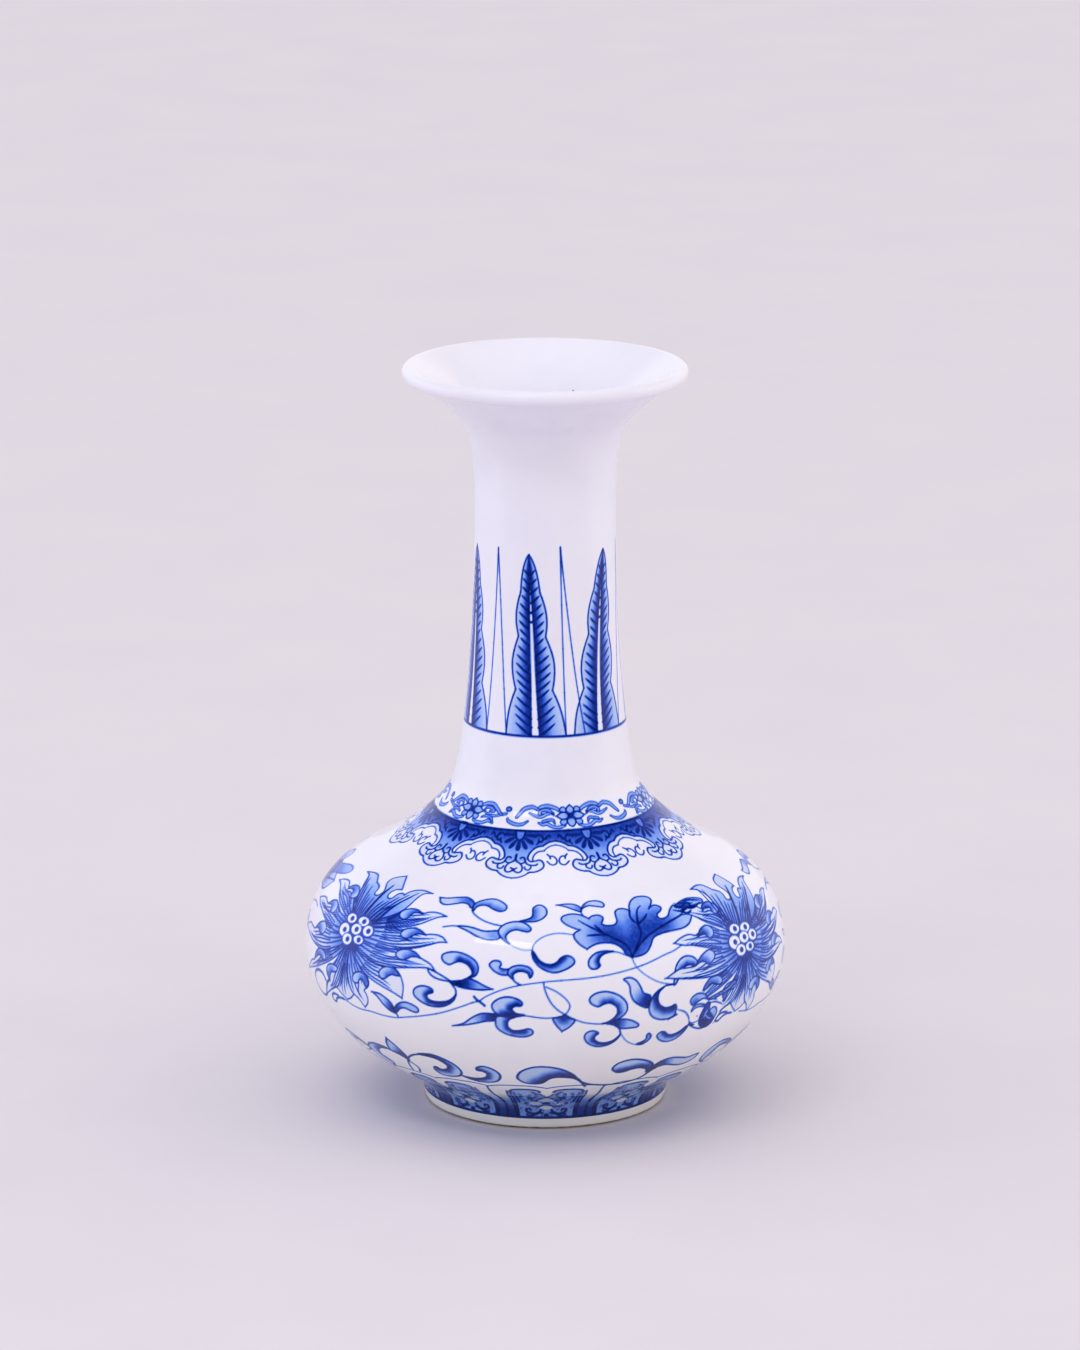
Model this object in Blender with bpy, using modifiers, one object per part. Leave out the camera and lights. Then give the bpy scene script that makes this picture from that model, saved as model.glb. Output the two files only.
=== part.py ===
"""A porcelain bottle vase, 200 mm tall, as the clay sections a potter turns and then lutes together with slip.

The outer outline is one smooth curve through eight stations, from the top of the foot ring to the lip. Each
section is a stretch of that curve with its inner wall, turned about the vertical axis. Between two sections a
ring of luting slip fills the seam and stands out as a small bead on the inside, where no tool can wipe it away.

Run it with: blender --background --python part.py
The vase stands on Z = 0 with its axis on the Z axis. Every dimension below is in millimetres.
"""

import math

import bmesh
import bpy

MM = 0.001
SIDES = 56  # facets round the vase

# Driving dimensions
HEIGHT = 200.0
FOOT_RADIUS = 32.7
FOOT_HEIGHT = 3.0
BELLY_RADIUS = 64.3
THROAT_RADIUS = 18.65
MOUTH_RADIUS = 36.7  # where the rolled edge of the mouth begins
LIP_RADIUS = 1.9  # of the rolled edge
LIP_HEADING = 24.0  # the slope of the mouth at the rolled edge, in degrees
LIP_START_Z = HEIGHT - LIP_RADIUS * (1 + math.cos(math.radians(LIP_HEADING)))

# Seams
CLEARANCE = 0.3  # between a section and the slip beside it
SLIP_THICKNESS = 0.6
SEAM = SLIP_THICKNESS + 2 * CLEARANCE
FOOT_SEAM_Z = FOOT_HEIGHT + SEAM / 2
BELLY_SEAM_Z = 42.6
NECK_SEAM_Z = 89.0
BEAD_PROUD = 1.1  # how far the slip stands out of the inner wall
BEAD_HEIGHT = 3.4
BEAD_BLUNTNESS = 0.04  # keeps some thickness at the bead's upper and lower ends

# The outline's stations, from the foot to the lip: radius, height, heading in degrees (0 is outwards, 90 is
# up), the share of the chord that the curve runs along that heading before and after it, and wall thickness.
STATIONS = [
    (FOOT_RADIUS, FOOT_HEIGHT, 86.0, 0.33, 0.34, 4.8),
    (45.5, 13.8, 33.5, 0.34, 0.41, 4.6),
    (BELLY_RADIUS, BELLY_SEAM_Z, 90.0, 0.27, 0.36, 3.6),
    (48.0, 68.1, 156.0, 0.37, 0.20, 3.6),
    (24.4, NECK_SEAM_Z, 107.4, 0.29, 0.20, 3.4),
    (THROAT_RADIUS, 160.4, 90.0, 0.22, 0.38, 3.0),
    (22.6, 186.0, 49.5, 0.24, 0.33, 3.3),
    (MOUTH_RADIUS, LIP_START_Z, LIP_HEADING, 0.33, 0.33, 2 * LIP_RADIUS),
]
SPAN_STEPS = [6, 6, 7, 6, 4, 4, 5]  # straight pieces that stand for the curve between two stations

# The floor inside and the recess under it
FLOOR_Z = 9.0
FLOOR_EDGE_Z = 14.5  # where the inner wall starts to turn into the floor
RECESS_Z = FOOT_HEIGHT + SEAM
RECESS_DOME = 0.8  # how much higher the recess is in the middle
FOOT_INNER_RADIUS = 28.4
BEARING_INNER_RADIUS = 29.3
BEARING_OUTER_RADIUS = 31.3

# Looks: colour and roughness
WHITE_GLAZE = ((0.86, 0.87, 0.93, 1.0), 0.12)
BLUE_WASHED_GLAZE = ((0.55, 0.60, 0.85, 1.0), 0.12)
BARE_BISCUIT = ((0.80, 0.76, 0.66, 1.0), 0.75)
DRIED_SLIP = ((0.74, 0.72, 0.68, 1.0), 0.85)


def heading_vector(degrees):
    angle = math.radians(degrees)
    return math.cos(angle), math.sin(angle)


def span_point(start, end, share):
    """A point of the cubic curve between two stations, its unit direction, and the wall thickness there."""
    chord = math.dist(start[:2], end[:2])
    out_dir, in_dir = heading_vector(start[2]), heading_vector(end[2])
    rest = 1 - share
    point, direction = [], []
    for axis in (0, 1):
        a = start[axis]
        b = a + out_dir[axis] * chord * start[4]
        d = end[axis]
        c = d - in_dir[axis] * chord * end[3]
        point.append(rest**3 * a + 3 * rest**2 * share * b + 3 * rest * share**2 * c + share**3 * d)
        direction.append(rest**2 * (b - a) + 2 * rest * share * (c - b) + share**2 * (d - c))
    length = math.hypot(*direction)
    wall = start[5] * rest + end[5] * share
    return point, (direction[0] / length, direction[1] / length), wall


def walls():
    """The outer outline and the inner one, each as points (radius, height) from the foot to the lip."""
    outer, inner = [], []
    for start, end, steps in zip(STATIONS[:-1], STATIONS[1:], SPAN_STEPS):
        first = 0 if start is STATIONS[0] else 1
        for i in range(first, steps + 1):
            point, (dr, dz), wall = span_point(start, end, i / steps)
            outer.append(tuple(point))
            inner.append((point[0] - dz * wall, point[1] + dr * wall))
    return outer, inner


def between(outline, low, high):
    """The stretch of an outline from height low to height high, cut exactly at both."""
    found = []
    for (r0, z0), (r1, z1) in zip(outline[:-1], outline[1:]):
        for cut in (low, high):
            if z0 < cut < z1:
                found.append((r0 + (r1 - r0) * (cut - z0) / (z1 - z0), cut))
        if low <= z1 <= high:
            found.append((r1, z1))
    if low <= outline[0][1] <= high:
        found.append(outline[0])
    return sorted(set(found), key=lambda point: point[1])


def radius_at(outline, height):
    return between(outline, height, height + 1)[0][0]


def arc(centre, radius, start, end, steps):
    """Points of an arc from angle start to angle end, in degrees, with both ends."""
    points = []
    for i in range(steps + 1):
        cosine, sine = heading_vector(start + (end - start) * i / steps)
        points.append((centre[0] + radius * cosine, centre[1] + radius * sine))
    return points


def finish(name, look):
    """The material of one piece, from its look: a colour and a roughness."""
    colour, roughness = look
    material = bpy.data.materials.new(name + "_finish")
    material.use_nodes = True
    shader = material.node_tree.nodes["Principled BSDF"]
    shader.inputs["Base Color"].default_value = colour
    shader.inputs["Roughness"].default_value = roughness
    shader.inputs["Metallic"].default_value = 0.0
    return material


def turned(name, profile, look, collection, closed=True):
    """A solid of revolution. The profile runs down the outer side; an open one starts and ends on the axis."""
    mesh = bpy.data.meshes.new(name)
    shape = bmesh.new()
    verts = [shape.verts.new((radius * MM, 0.0, height * MM)) for radius, height in profile]
    for a, b in zip(verts[:-1], verts[1:]):
        shape.edges.new((a, b))
    if closed:
        shape.edges.new((verts[-1], verts[0]))
    shape.to_mesh(mesh)
    shape.free()
    obj = bpy.data.objects.new(name, mesh)
    obj.data.materials.append(finish(name, look))
    collection.objects.link(obj)
    screw = obj.modifiers.new("turn", "SCREW")
    screw.axis = "Z"
    screw.steps = SIDES
    screw.render_steps = SIDES
    screw.use_merge_vertices = True
    screw.merge_threshold = 0.01 * MM
    screw.use_smooth_shade = True
    return obj


def neck_profile(outer, inner):
    """The mouth and neck, from its seam to the rolled lip."""
    low = NECK_SEAM_Z + SEAM / 2
    outside = between(outer, low, HEIGHT)
    inside = between(inner, low, HEIGHT)
    dr, dz = heading_vector(LIP_HEADING)
    centre = (MOUTH_RADIUS - dz * LIP_RADIUS, LIP_START_Z + dr * LIP_RADIUS)
    lip = arc(centre, LIP_RADIUS, LIP_HEADING + 90, LIP_HEADING - 90, 7)
    return inside[:-1] + lip + outside[-2::-1]


def shoulder_profile(outer, inner):
    """The upper half of the body, from the widest line of the belly to the root of the neck."""
    low, high = BELLY_SEAM_Z + SEAM / 2, NECK_SEAM_Z - SEAM / 2
    return between(inner, low, high) + between(outer, low, high)[::-1]


def belly_profile(outer, inner):
    """The lower half of the body with its floor, open on the axis at both ends."""
    low, high = FOOT_HEIGHT + SEAM, BELLY_SEAM_Z - SEAM / 2
    inside = between(inner, FLOOR_EDGE_Z, high)
    edge = inside[0]
    floor = [(edge[0] * share, FLOOR_Z + (edge[1] - FLOOR_Z) * share**4) for share in (0.0, 0.4, 0.65, 0.85)]
    recess = [(FOOT_INNER_RADIUS, RECESS_Z), (0.0, RECESS_Z + RECESS_DOME)]
    return floor + inside + between(outer, low, high)[::-1] + recess


def foot_profile():
    """The turned foot ring, tapering a little downwards, with a flat bearing face and both its edges eased."""
    eased_height, inner_taper, outer_taper = 0.7, 0.2, 0.5
    return [
        (BEARING_INNER_RADIUS, 0.0),
        (FOOT_INNER_RADIUS + inner_taper, eased_height),
        (FOOT_INNER_RADIUS, FOOT_HEIGHT),
        (FOOT_RADIUS, FOOT_HEIGHT),
        (FOOT_RADIUS - outer_taper, eased_height),
        (BEARING_OUTER_RADIUS, 0.0),
    ]


def seam_profile(outer, inner, seam_z):
    """Luting slip: a thin web through the wall, and a rounded bead on the inside."""
    half = SLIP_THICKNESS / 2
    web_inner = radius_at(inner, seam_z) - CLEARANCE
    web_outer = radius_at(outer, seam_z) - CLEARANCE
    lean = radius_at(inner, seam_z + BEAD_HEIGHT / 2) - radius_at(inner, seam_z - BEAD_HEIGHT / 2)
    bead = []
    for share in (-1.0, -0.6, 0.0, 0.6, 1.0):
        proud = BEAD_PROUD * math.sqrt(1 + BEAD_BLUNTNESS - share**2)
        bead.append((web_inner + share * lean / 2 - proud - CLEARANCE, seam_z + share * BEAD_HEIGHT / 2))
    bead_low = (web_inner - lean / 2, seam_z - BEAD_HEIGHT / 2)
    bead_high = (web_inner + lean / 2, seam_z + BEAD_HEIGHT / 2)
    web = [
        (web_inner, seam_z + half),
        (web_outer, seam_z + half),
        (web_outer, seam_z - half),
        (web_inner, seam_z - half),
    ]
    return bead + [bead_high] + web + [bead_low]


def foot_seam_profile():
    """The slip between the foot ring and the base, with a small fillet inside the recess."""
    low, high = FOOT_HEIGHT + CLEARANCE, FOOT_HEIGHT + CLEARANCE + SLIP_THICKNESS
    fillet = 1.2
    return [
        (FOOT_INNER_RADIUS - CLEARANCE, low - fillet),
        (FOOT_INNER_RADIUS - CLEARANCE - fillet, high),
        (FOOT_RADIUS - CLEARANCE, high),
        (FOOT_RADIUS - CLEARANCE, low),
        (FOOT_INNER_RADIUS - CLEARANCE, low),
    ]


def build():
    for obj in list(bpy.data.objects):
        bpy.data.objects.remove(obj)
    vase = bpy.data.collections.new("porcelain_bottle_vase")
    bpy.context.scene.collection.children.link(vase)
    outer, inner = walls()
    turned("mouth_and_neck", neck_profile(outer, inner), WHITE_GLAZE, vase)
    turned("shoulder_section", shoulder_profile(outer, inner), BLUE_WASHED_GLAZE, vase)
    turned("belly_section", belly_profile(outer, inner), WHITE_GLAZE, vase, closed=False)
    turned("foot_ring", foot_profile(), BARE_BISCUIT, vase)
    turned("neck_luting_slip", seam_profile(outer, inner, NECK_SEAM_Z), DRIED_SLIP, vase)
    turned("belly_luting_slip", seam_profile(outer, inner, BELLY_SEAM_Z), DRIED_SLIP, vase)
    turned("foot_luting_slip", foot_seam_profile(), DRIED_SLIP, vase)


build()
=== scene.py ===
"""The blue and white porcelain bottle vase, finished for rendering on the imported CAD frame.

The painting is laid out on the vase's outer face. A place there is (turn, run): the turn is in degrees round
the vase from its front, to the viewer's right, and the run is in millimetres up the outline from the top of
the foot ring. Strokes are brushed into a field of pigment density on the glazed meshes, and the glaze's
material turns that density into cobalt blue.
"""

import math

import bpy
import numpy as np
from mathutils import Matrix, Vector


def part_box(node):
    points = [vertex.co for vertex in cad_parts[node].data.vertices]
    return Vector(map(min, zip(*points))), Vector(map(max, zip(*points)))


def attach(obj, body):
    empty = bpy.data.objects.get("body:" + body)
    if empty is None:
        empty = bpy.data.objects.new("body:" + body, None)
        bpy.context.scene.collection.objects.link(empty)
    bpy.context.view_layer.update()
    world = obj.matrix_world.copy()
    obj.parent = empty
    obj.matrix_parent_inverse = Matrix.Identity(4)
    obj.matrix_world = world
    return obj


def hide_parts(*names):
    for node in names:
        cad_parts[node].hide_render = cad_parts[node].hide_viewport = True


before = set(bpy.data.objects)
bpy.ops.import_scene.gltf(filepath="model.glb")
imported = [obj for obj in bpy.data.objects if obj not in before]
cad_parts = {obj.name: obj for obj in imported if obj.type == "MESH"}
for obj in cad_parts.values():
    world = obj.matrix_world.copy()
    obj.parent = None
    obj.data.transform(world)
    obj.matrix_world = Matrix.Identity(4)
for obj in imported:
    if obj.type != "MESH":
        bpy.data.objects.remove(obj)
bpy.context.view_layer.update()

MM = 0.001

# -------------------------------------------------------------------------------------- outline of the vase
FOOT_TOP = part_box("foot_ring")[1] / MM
BELLY_LOW, BELLY_TOP = (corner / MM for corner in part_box("belly_section"))
SHOULDER_LOW, SHOULDER_TOP = (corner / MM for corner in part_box("shoulder_section"))
NECK_LOW, NECK_TOP = (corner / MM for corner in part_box("mouth_and_neck"))
BELLY_SEAM_Z = (BELLY_TOP[2] + SHOULDER_LOW[2]) / 2
NECK_SEAM_Z = (SHOULDER_TOP[2] + NECK_LOW[2]) / 2
LIP_RADIUS = 1.9
LIP_SLOPE = 24.0
MOUTH_RADIUS = NECK_TOP[0] - LIP_RADIUS * (1 - math.sin(math.radians(LIP_SLOPE)))
LIP_START_Z = NECK_TOP[2] - LIP_RADIUS * (1 + math.cos(math.radians(LIP_SLOPE)))

# Stations of the outline: radius, height, heading in degrees, reach before and after, wall thickness.
STATIONS = [
    (FOOT_TOP[0], FOOT_TOP[2], 86.0, 0.33, 0.34, 4.8),
    (45.5, 13.8, 33.5, 0.34, 0.41, 4.6),
    (SHOULDER_TOP[0], BELLY_SEAM_Z, 90.0, 0.27, 0.36, 3.6),
    (48.0, 68.1, 156.0, 0.37, 0.20, 3.6),
    (24.4, NECK_SEAM_Z, 107.4, 0.29, 0.20, 3.4),
    (18.65, 160.4, 90.0, 0.22, 0.38, 3.0),
    (22.6, 186.0, 49.5, 0.24, 0.33, 3.3),
    (MOUTH_RADIUS, LIP_START_Z, LIP_SLOPE, 0.33, 0.33, 2 * LIP_RADIUS),
]
SPAN_STEPS = 300


def heading(degrees):
    return np.array([math.cos(math.radians(degrees)), math.sin(math.radians(degrees))])


def walls():
    """Fine tables of the outer and inner outlines, (radius, height) rows from the foot to the lip."""
    outer, inner = [], []
    for start, end in zip(STATIONS[:-1], STATIONS[1:]):
        a, d = np.array(start[:2]), np.array(end[:2])
        chord = np.linalg.norm(d - a)
        b, c = a + heading(start[2]) * chord * start[4], d - heading(end[2]) * chord * end[3]
        t = np.linspace(0, 1, SPAN_STEPS + 1)[:, None]
        point = (1 - t) ** 3 * a + 3 * (1 - t) ** 2 * t * b + 3 * (1 - t) * t**2 * c + t**3 * d
        way = (1 - t) ** 2 * (b - a) + 2 * (1 - t) * t * (c - b) + t**2 * (d - c)
        way /= np.linalg.norm(way, axis=1)[:, None]
        wall = start[5] * (1 - t) + end[5] * t
        first = 0 if not outer else 1
        outer.append(point[first:])
        inner.append((point + np.column_stack([-way[:, 1], way[:, 0]]) * wall)[first:])
    return np.concatenate(outer), np.concatenate(inner)


OUTER, INNER = walls()
RUN = np.concatenate([[0], np.cumsum(np.linalg.norm(np.diff(OUTER, axis=0), axis=1))])


def radius_at(run):
    return np.interp(run, RUN, OUTER[:, 0])


def height_at(run):
    return np.interp(run, RUN, OUTER[:, 1])


def run_at(height):
    return float(np.interp(height, OUTER[:, 1], RUN))


BELLY_SEAM, NECK_SEAM, LIP_RUN = run_at(BELLY_SEAM_Z), run_at(NECK_SEAM_Z), RUN[-1]

# ----------------------------------------------------------------------------------------- brush and canvas
SOFT = 0.30  # how far a stroke's edge fades, in mm
LINE_DEPTH = 1.2  # how much deeper a line fires than its tone says
PATH_STEP = 0.5  # how far apart a smooth path is sampled, in mm
PIECE = 24  # how many steps of a line are laid at a time


class Canvas:
    """Pigment density over one band of the outer face, on the same grid as the mesh's points."""

    def __init__(self, low, high, columns, pitch):
        self.runs = np.linspace(low, high, int(math.ceil((high - low) / pitch)) + 1)
        self.radii = radius_at(self.runs)
        self.columns = columns
        self.step = 360.0 / columns
        self.tone = np.zeros((len(self.runs), columns))

    def window(self, turns, runs, margin):
        """Rows, columns and turns of the grid points round a path, or None if it misses the band."""
        low, high = runs.min() - margin, runs.max() + margin
        i0, i1 = np.searchsorted(self.runs, [low, high])
        if i0 == i1:
            return None
        spread = math.degrees(margin / self.radii[i0:i1].min())
        j0 = math.floor((turns.min() - spread + 180) / self.step)
        j1 = math.ceil((turns.max() + spread + 180) / self.step)
        columns = np.arange(j0, j1 + 1)
        rows = np.arange(i0, i1)
        return rows, columns % self.columns, columns * self.step - 180


canvases = []


def sampled(points, closed=False):
    """A smooth path through the points, as rows of what each holds, and the share of the way along each row.

    A point given twice makes a corner."""
    p = np.array(points, float)
    if closed:
        p = np.vstack([p[-1], p, p[0], p[1]])
    else:
        p = np.vstack([2 * p[0] - p[1], p, 2 * p[-1] - p[-2]])
    out = []
    for a, b, c, d in zip(p[:-3], p[1:-2], p[2:-1], p[3:]):
        size = math.hypot(math.radians(c[0] - b[0]) * float(radius_at(b[1])), c[1] - b[1])
        t = np.linspace(0, 1, max(2, math.ceil(size / PATH_STEP)), endpoint=False)[:, None]
        out.append(
            0.5 * (2 * b + (c - a) * t + (2 * a - 5 * b + 4 * c - d) * t**2 + (3 * b - a - 3 * c + d) * t**3)
        )
    out.append(p[-2:-1])
    path = np.concatenate(out)
    return path, np.linspace(0, 1, len(path))


def nearest(radii, runs, turns, path_turn, path_run, path_share):
    """For grid points, the distance in mm to a path, its signed side, and the share along it."""
    scale = np.radians(1.0) * radii[:, None, None]
    ax = (path_turn[:-1] - turns[:, None])[None] * scale
    bx = (path_turn[1:] - turns[:, None])[None] * scale
    ay = (path_run[:-1] - runs[:, None])[:, None, :]
    by = (path_run[1:] - runs[:, None])[:, None, :]
    dx, dy = bx - ax, by - ay
    along = np.clip(-(ax * dx + ay * dy) / np.maximum(dx * dx + dy * dy, 1e-12), 0, 1)
    qx, qy = ax + along * dx, ay + along * dy
    square = qx * qx + qy * qy
    best = square.argmin(axis=2)[..., None]

    def pick(values):
        return np.take_along_axis(np.broadcast_to(values, square.shape), best, 2)[..., 0]

    side = np.sign(pick(qx * dy - qy * dx))
    share = path_share[:-1] + along * np.diff(path_share)
    return np.sqrt(pick(square)), side, pick(share)


def blend(canvas, rows, columns, cover, tone, mode):
    """Lays pigment on the canvas: over what is there, or only where it makes it darker."""
    cell = np.ix_(rows, columns)
    old = canvas.tone[cell]
    new = old * (1 - cover) + tone * cover
    canvas.tone[cell] = np.maximum(old, new) if mode == "darken" else new


def line(points, width=0.4, tone=0.8, taper=(1.0, 1.0), mode="darken", closed=False):
    """A brush line of about constant width; taper is the share of the width left at its two ends."""
    path, share = sampled(points, closed)
    turn, run = path[:, 0], path[:, 1]
    for k in range(0, len(turn) - 1, PIECE):
        cut = slice(k, min(k + PIECE, len(turn) - 1) + 1)
        for canvas in canvases:
            found = canvas.window(turn[cut], run[cut], width / 2 + SOFT)
            if found is None:
                continue
            rows, columns, turns = found
            gap, _, t = nearest(canvas.radii[rows], canvas.runs[rows], turns, turn[cut], run[cut], share[cut])
            ends = taper[0] + (1 - taper[0]) * np.clip(t * 4, 0, 1)
            ends = ends * (taper[1] + (1 - taper[1]) * np.clip((1 - t) * 4, 0, 1))
            cover = np.clip((width / 2 * ends - gap) / SOFT + 0.5, 0, 1) * np.clip(ends * 1.6, 0, 1)
            blend(canvas, rows, columns, cover, min(tone * LINE_DEPTH, 1.0), mode)


def brush(points, tones=(0.3, 0.3), edge=0.78, line_width=0.36):
    """A fat stroke along a spine of (turn, run, width) points, washed from its left tone to its right one."""
    path, share = sampled(points)
    turn, run, widths = path[:, 0], path[:, 1], np.maximum(path[:, 2], 0)
    for canvas in canvases:
        found = canvas.window(turn, run, widths.max() / 2 + line_width + SOFT)
        if found is None:
            continue
        rows, columns, turns = found
        gap, side, t = nearest(canvas.radii[rows], canvas.runs[rows], turns, turn, run, share)
        half = np.interp(t, share, widths) / 2
        across = np.clip(gap * side / np.maximum(half, 0.05), -1, 1) * 0.5 + 0.5
        tone = tones[1] * (1 - across) + tones[0] * across
        cover = np.clip((half - gap) / SOFT + 0.5, 0, 1)
        blend(canvas, rows, columns, cover, np.clip(tone, 0, 1), "over")
        rim = np.clip((line_width / 2 - np.abs(half - gap)) / SOFT + 0.5, 0, 1)
        blend(canvas, rows, columns, rim, edge, "darken")


def fill(points, tone=0.3, toward=None, focus=None, edge=0.78, line_width=0.36, smooth=True, mode="over"):
    """A closed outline filled with a wash.

    toward = (from place, to place, tone there) grades it along a line. focus = (place or path, reach, tone
    there) grades it away from a place or a path."""
    if smooth:
        path, share = sampled(points, closed=True)
    else:
        path, share = np.array(list(points) + [points[0]], float), np.linspace(0, 1, len(points) + 1)
    turn, run = path[:, 0], path[:, 1]
    for canvas in canvases:
        found = canvas.window(turn, run, line_width + SOFT)
        if found is None:
            continue
        rows, columns, turns = found
        gap, _, _ = nearest(canvas.radii[rows], canvas.runs[rows], turns, turn, run, share)
        inside = np.zeros(gap.shape, bool)
        y = canvas.runs[rows]
        for x0, y0, x1, y1 in zip(turn[:-1], run[:-1], turn[1:], run[1:]):
            between = (y0 <= y) != (y1 <= y)
            if between.any():
                cross = x0 + (y[between] - y0) / (y1 - y0) * (x1 - x0)
                inside[between] ^= turns[None, :] < cross[:, None]
        depth = np.where(inside, gap, -gap)
        wash = np.full(gap.shape, float(tone))
        scale = np.radians(1.0) * canvas.radii[rows][:, None]
        if toward is not None:
            (x0, y0), (x1, y1), far = toward
            dx, dy = (x1 - x0) * scale, y1 - y0
            along = ((turns[None, :] - x0) * scale * dx + (y[:, None] - y0) * dy) / (dx * dx + dy * dy)
            wash += (far - tone) * eased(along)
        if focus is not None:
            place, reach, near = focus
            way = np.array(place if isinstance(place, list) else [place, place], float)
            away, _, _ = nearest(canvas.radii[rows], y, turns, way[:, 0], way[:, 1], np.arange(len(way)))
            wash += (near - tone) * eased(1 - away / reach)
        blend(canvas, rows, columns, np.clip(depth / SOFT + 0.5, 0, 1), np.clip(wash, 0, 1), mode)
        if line_width:
            rim = np.clip((line_width / 2 - gap) / SOFT + 0.5, 0, 1)
            blend(canvas, rows, columns, rim, min(edge * LINE_DEPTH, 1.0), "darken")


def eased(share):
    share = np.clip(share, 0, 1)
    return share * share * (3 - 2 * share)


def ring(run, width, tone):
    """A line all the way round the vase."""
    for canvas in canvases:
        cover = np.clip((width / 2 - np.abs(canvas.runs - run)) / SOFT + 0.5, 0, 1)[:, None]
        canvas.tone[:] = np.maximum(canvas.tone, cover * tone)


def placed(points, turn, run=0.0, mirror=1):
    """Points of a motif moved to a place on the vase, and turned over if mirror is -1."""
    return [(turn + mirror * x, run + y) for x, y in points]


def oval(turn, run, across, up):
    return [(turn + across * math.cos(a), run + up * math.sin(a)) for a in np.radians(range(0, 360, 30))]


# ------------------------------------------------------------------------------------------ plantain leaves
NECK_LINE = 133.2
LEAF_TOP = 181.6
# Half of a leaf's width in mm up the neck: four lobes, stepping in towards the tip.
LOBES = [
    (133.2, 8.2), (137.0, 7.65), (140.0, 7.0), (143.0, 6.0), (145.5, 4.95),
    (145.9, 5.0), (148.0, 5.45), (151.0, 5.7), (154.0, 5.45), (157.0, 4.65), (159.7, 3.65),
    (160.1, 3.75), (163.0, 4.1), (166.0, 4.0), (169.0, 3.4), (171.5, 2.6),
    (172.0, 2.6), (175.0, 2.2), (178.0, 1.6), (180.3, 0.8), (181.6, 0.05),
]  # fmt: skip
LOBE_STARTS = (145.9, 160.1, 172.0)
LOBE_ENDS = (145.5, 159.7, 171.5, LEAF_TOP)
VEIN_LOW, VEIN_TOP, VEIN_STEP = 136.6, 179.5, 2.27
# (base turn, tip turn, bend) of each leaf, and (left foot, tip, right foot, top run) of each spire.
LEAVES = [
    (-67.3, -72.2, 1.0), (-6.8, -13.2, 1.0), (42.8, 54.0, 1.8), (103.3, 107.0, 1.0), (164.6, 164.0, 1.0),
    (-128.6, -132.0, 1.0),
]  # fmt: skip
SPIRES = [
    (-45.6, -40.8, -28.4, 182.6), (15.0, 12.2, 29.4, 183.6), (64.6, 80.5, 81.6, 182.6),
    (125.0, 134.5, 142.8, 182.6), (-173.4, -165.0, -150.4, 182.6), (-106.8, -103.0, -89.2, 182.6),
]  # fmt: skip


def leaf_half_width(run):
    return np.interp(run, [r for r, _ in LOBES], [w for _, w in LOBES])


def leaf_centre(run, base, tip, bend):
    share = np.clip((run - NECK_LINE) / (LEAF_TOP - NECK_LINE), 0, 1)
    return base + (tip - base) * share**bend


def leaf_wash(base, tip, bend):
    """A leaf's wash, darker to its midrib, and the white spire in the midrib between two dark seams."""
    for canvas in canvases:
        rows = np.nonzero((canvas.runs > NECK_LINE) & (canvas.runs < LEAF_TOP))[0]
        if not len(rows):
            continue
        runs = canvas.runs[rows]
        turns = np.arange(canvas.columns) * canvas.step - 180
        off = (turns[None] - leaf_centre(runs, base, tip, bend)[:, None] + 180) % 360 - 180
        across = np.abs(np.radians(off) * canvas.radii[rows][:, None])
        half = leaf_half_width(runs)[:, None]
        core = np.clip(1.22 - across / np.minimum(half * 0.58, 3.8), 0, 1)
        wash = 0.20 + 0.27 * np.clip(1.5 - across / (half * 0.62), 0, 1) + 0.54 * core**1.3
        cover = np.clip((half - across) / SOFT + 0.5, 0, 1)
        canvas.tone[rows] = canvas.tone[rows] * (1 - cover) + np.clip(wash, 0, 0.97) * cover
        spire = np.interp(runs, [NECK_LINE, 165.0, 172.5], [1.12, 0.26, 0.0])[:, None]
        cover = np.clip((spire - across) / SOFT + 0.5, 0, 1) * (spire > 0.02)
        canvas.tone[rows] = canvas.tone[rows] * (1 - cover)
        seam = np.clip((0.22 - np.abs(across - spire)) / SOFT + 0.5, 0, 1) * np.clip(2 * spire - 0.5, 0, 1)
        canvas.tone[rows] = np.maximum(canvas.tone[rows], seam * 0.95)


def leaf_lines(base, tip, bend):
    """A leaf's lobed outline and its slanting veins."""

    def at(run, across):
        """The place a given distance in mm to the right of the leaf's midrib."""
        return leaf_centre(run, base, tip, bend) + math.degrees(across / float(radius_at(run))), run

    for side in (-1, 1):
        lobe = []
        for run in [run for run, _ in LOBES if run not in LOBE_STARTS]:
            lobe.append(at(run, side * float(leaf_half_width(run))))
            if run in LOBE_ENDS:
                line(lobe, 0.42, 0.80)
                lobe = [lobe[-1]]
        run = VEIN_LOW
        while run < VEIN_TOP:
            reach = min(0.80 * float(leaf_half_width(run)), 5.2)
            root = 0.9 if run < 166 else 0.1
            drop = 0.62 * (reach - root) + 0.6
            start, end = at(run - drop, side * root), at(run, side * reach)
            middle = at(run - 0.56 * drop, side * (root + reach) / 2)
            line([start, middle, end], 0.55, 0.95, taper=(1.0, 0.5))
            run += VEIN_STEP


def neck_spire(left, tip, right, top):
    """A slender spire between two leaves, of two lines that meet at its tip."""
    for foot in (left, right):
        bow = 0.9 if abs(foot - tip) > 8 else 1.0
        shares = (0.0, 0.25, 0.5, 0.75, 1.0)
        way = [(foot + (tip - foot) * share**bow, NECK_LINE + (top - NECK_LINE) * share) for share in shares]
        line(way, 0.32, 0.74, taper=(1.0, 1.3))


def neck_pattern():
    for base, tip, bend in LEAVES:
        leaf_wash(base, tip, bend)
        leaf_lines(base, tip, bend)
    for spire in SPIRES:
        neck_spire(*spire)
    ring(NECK_LINE, 0.62, 1.0)


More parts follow.
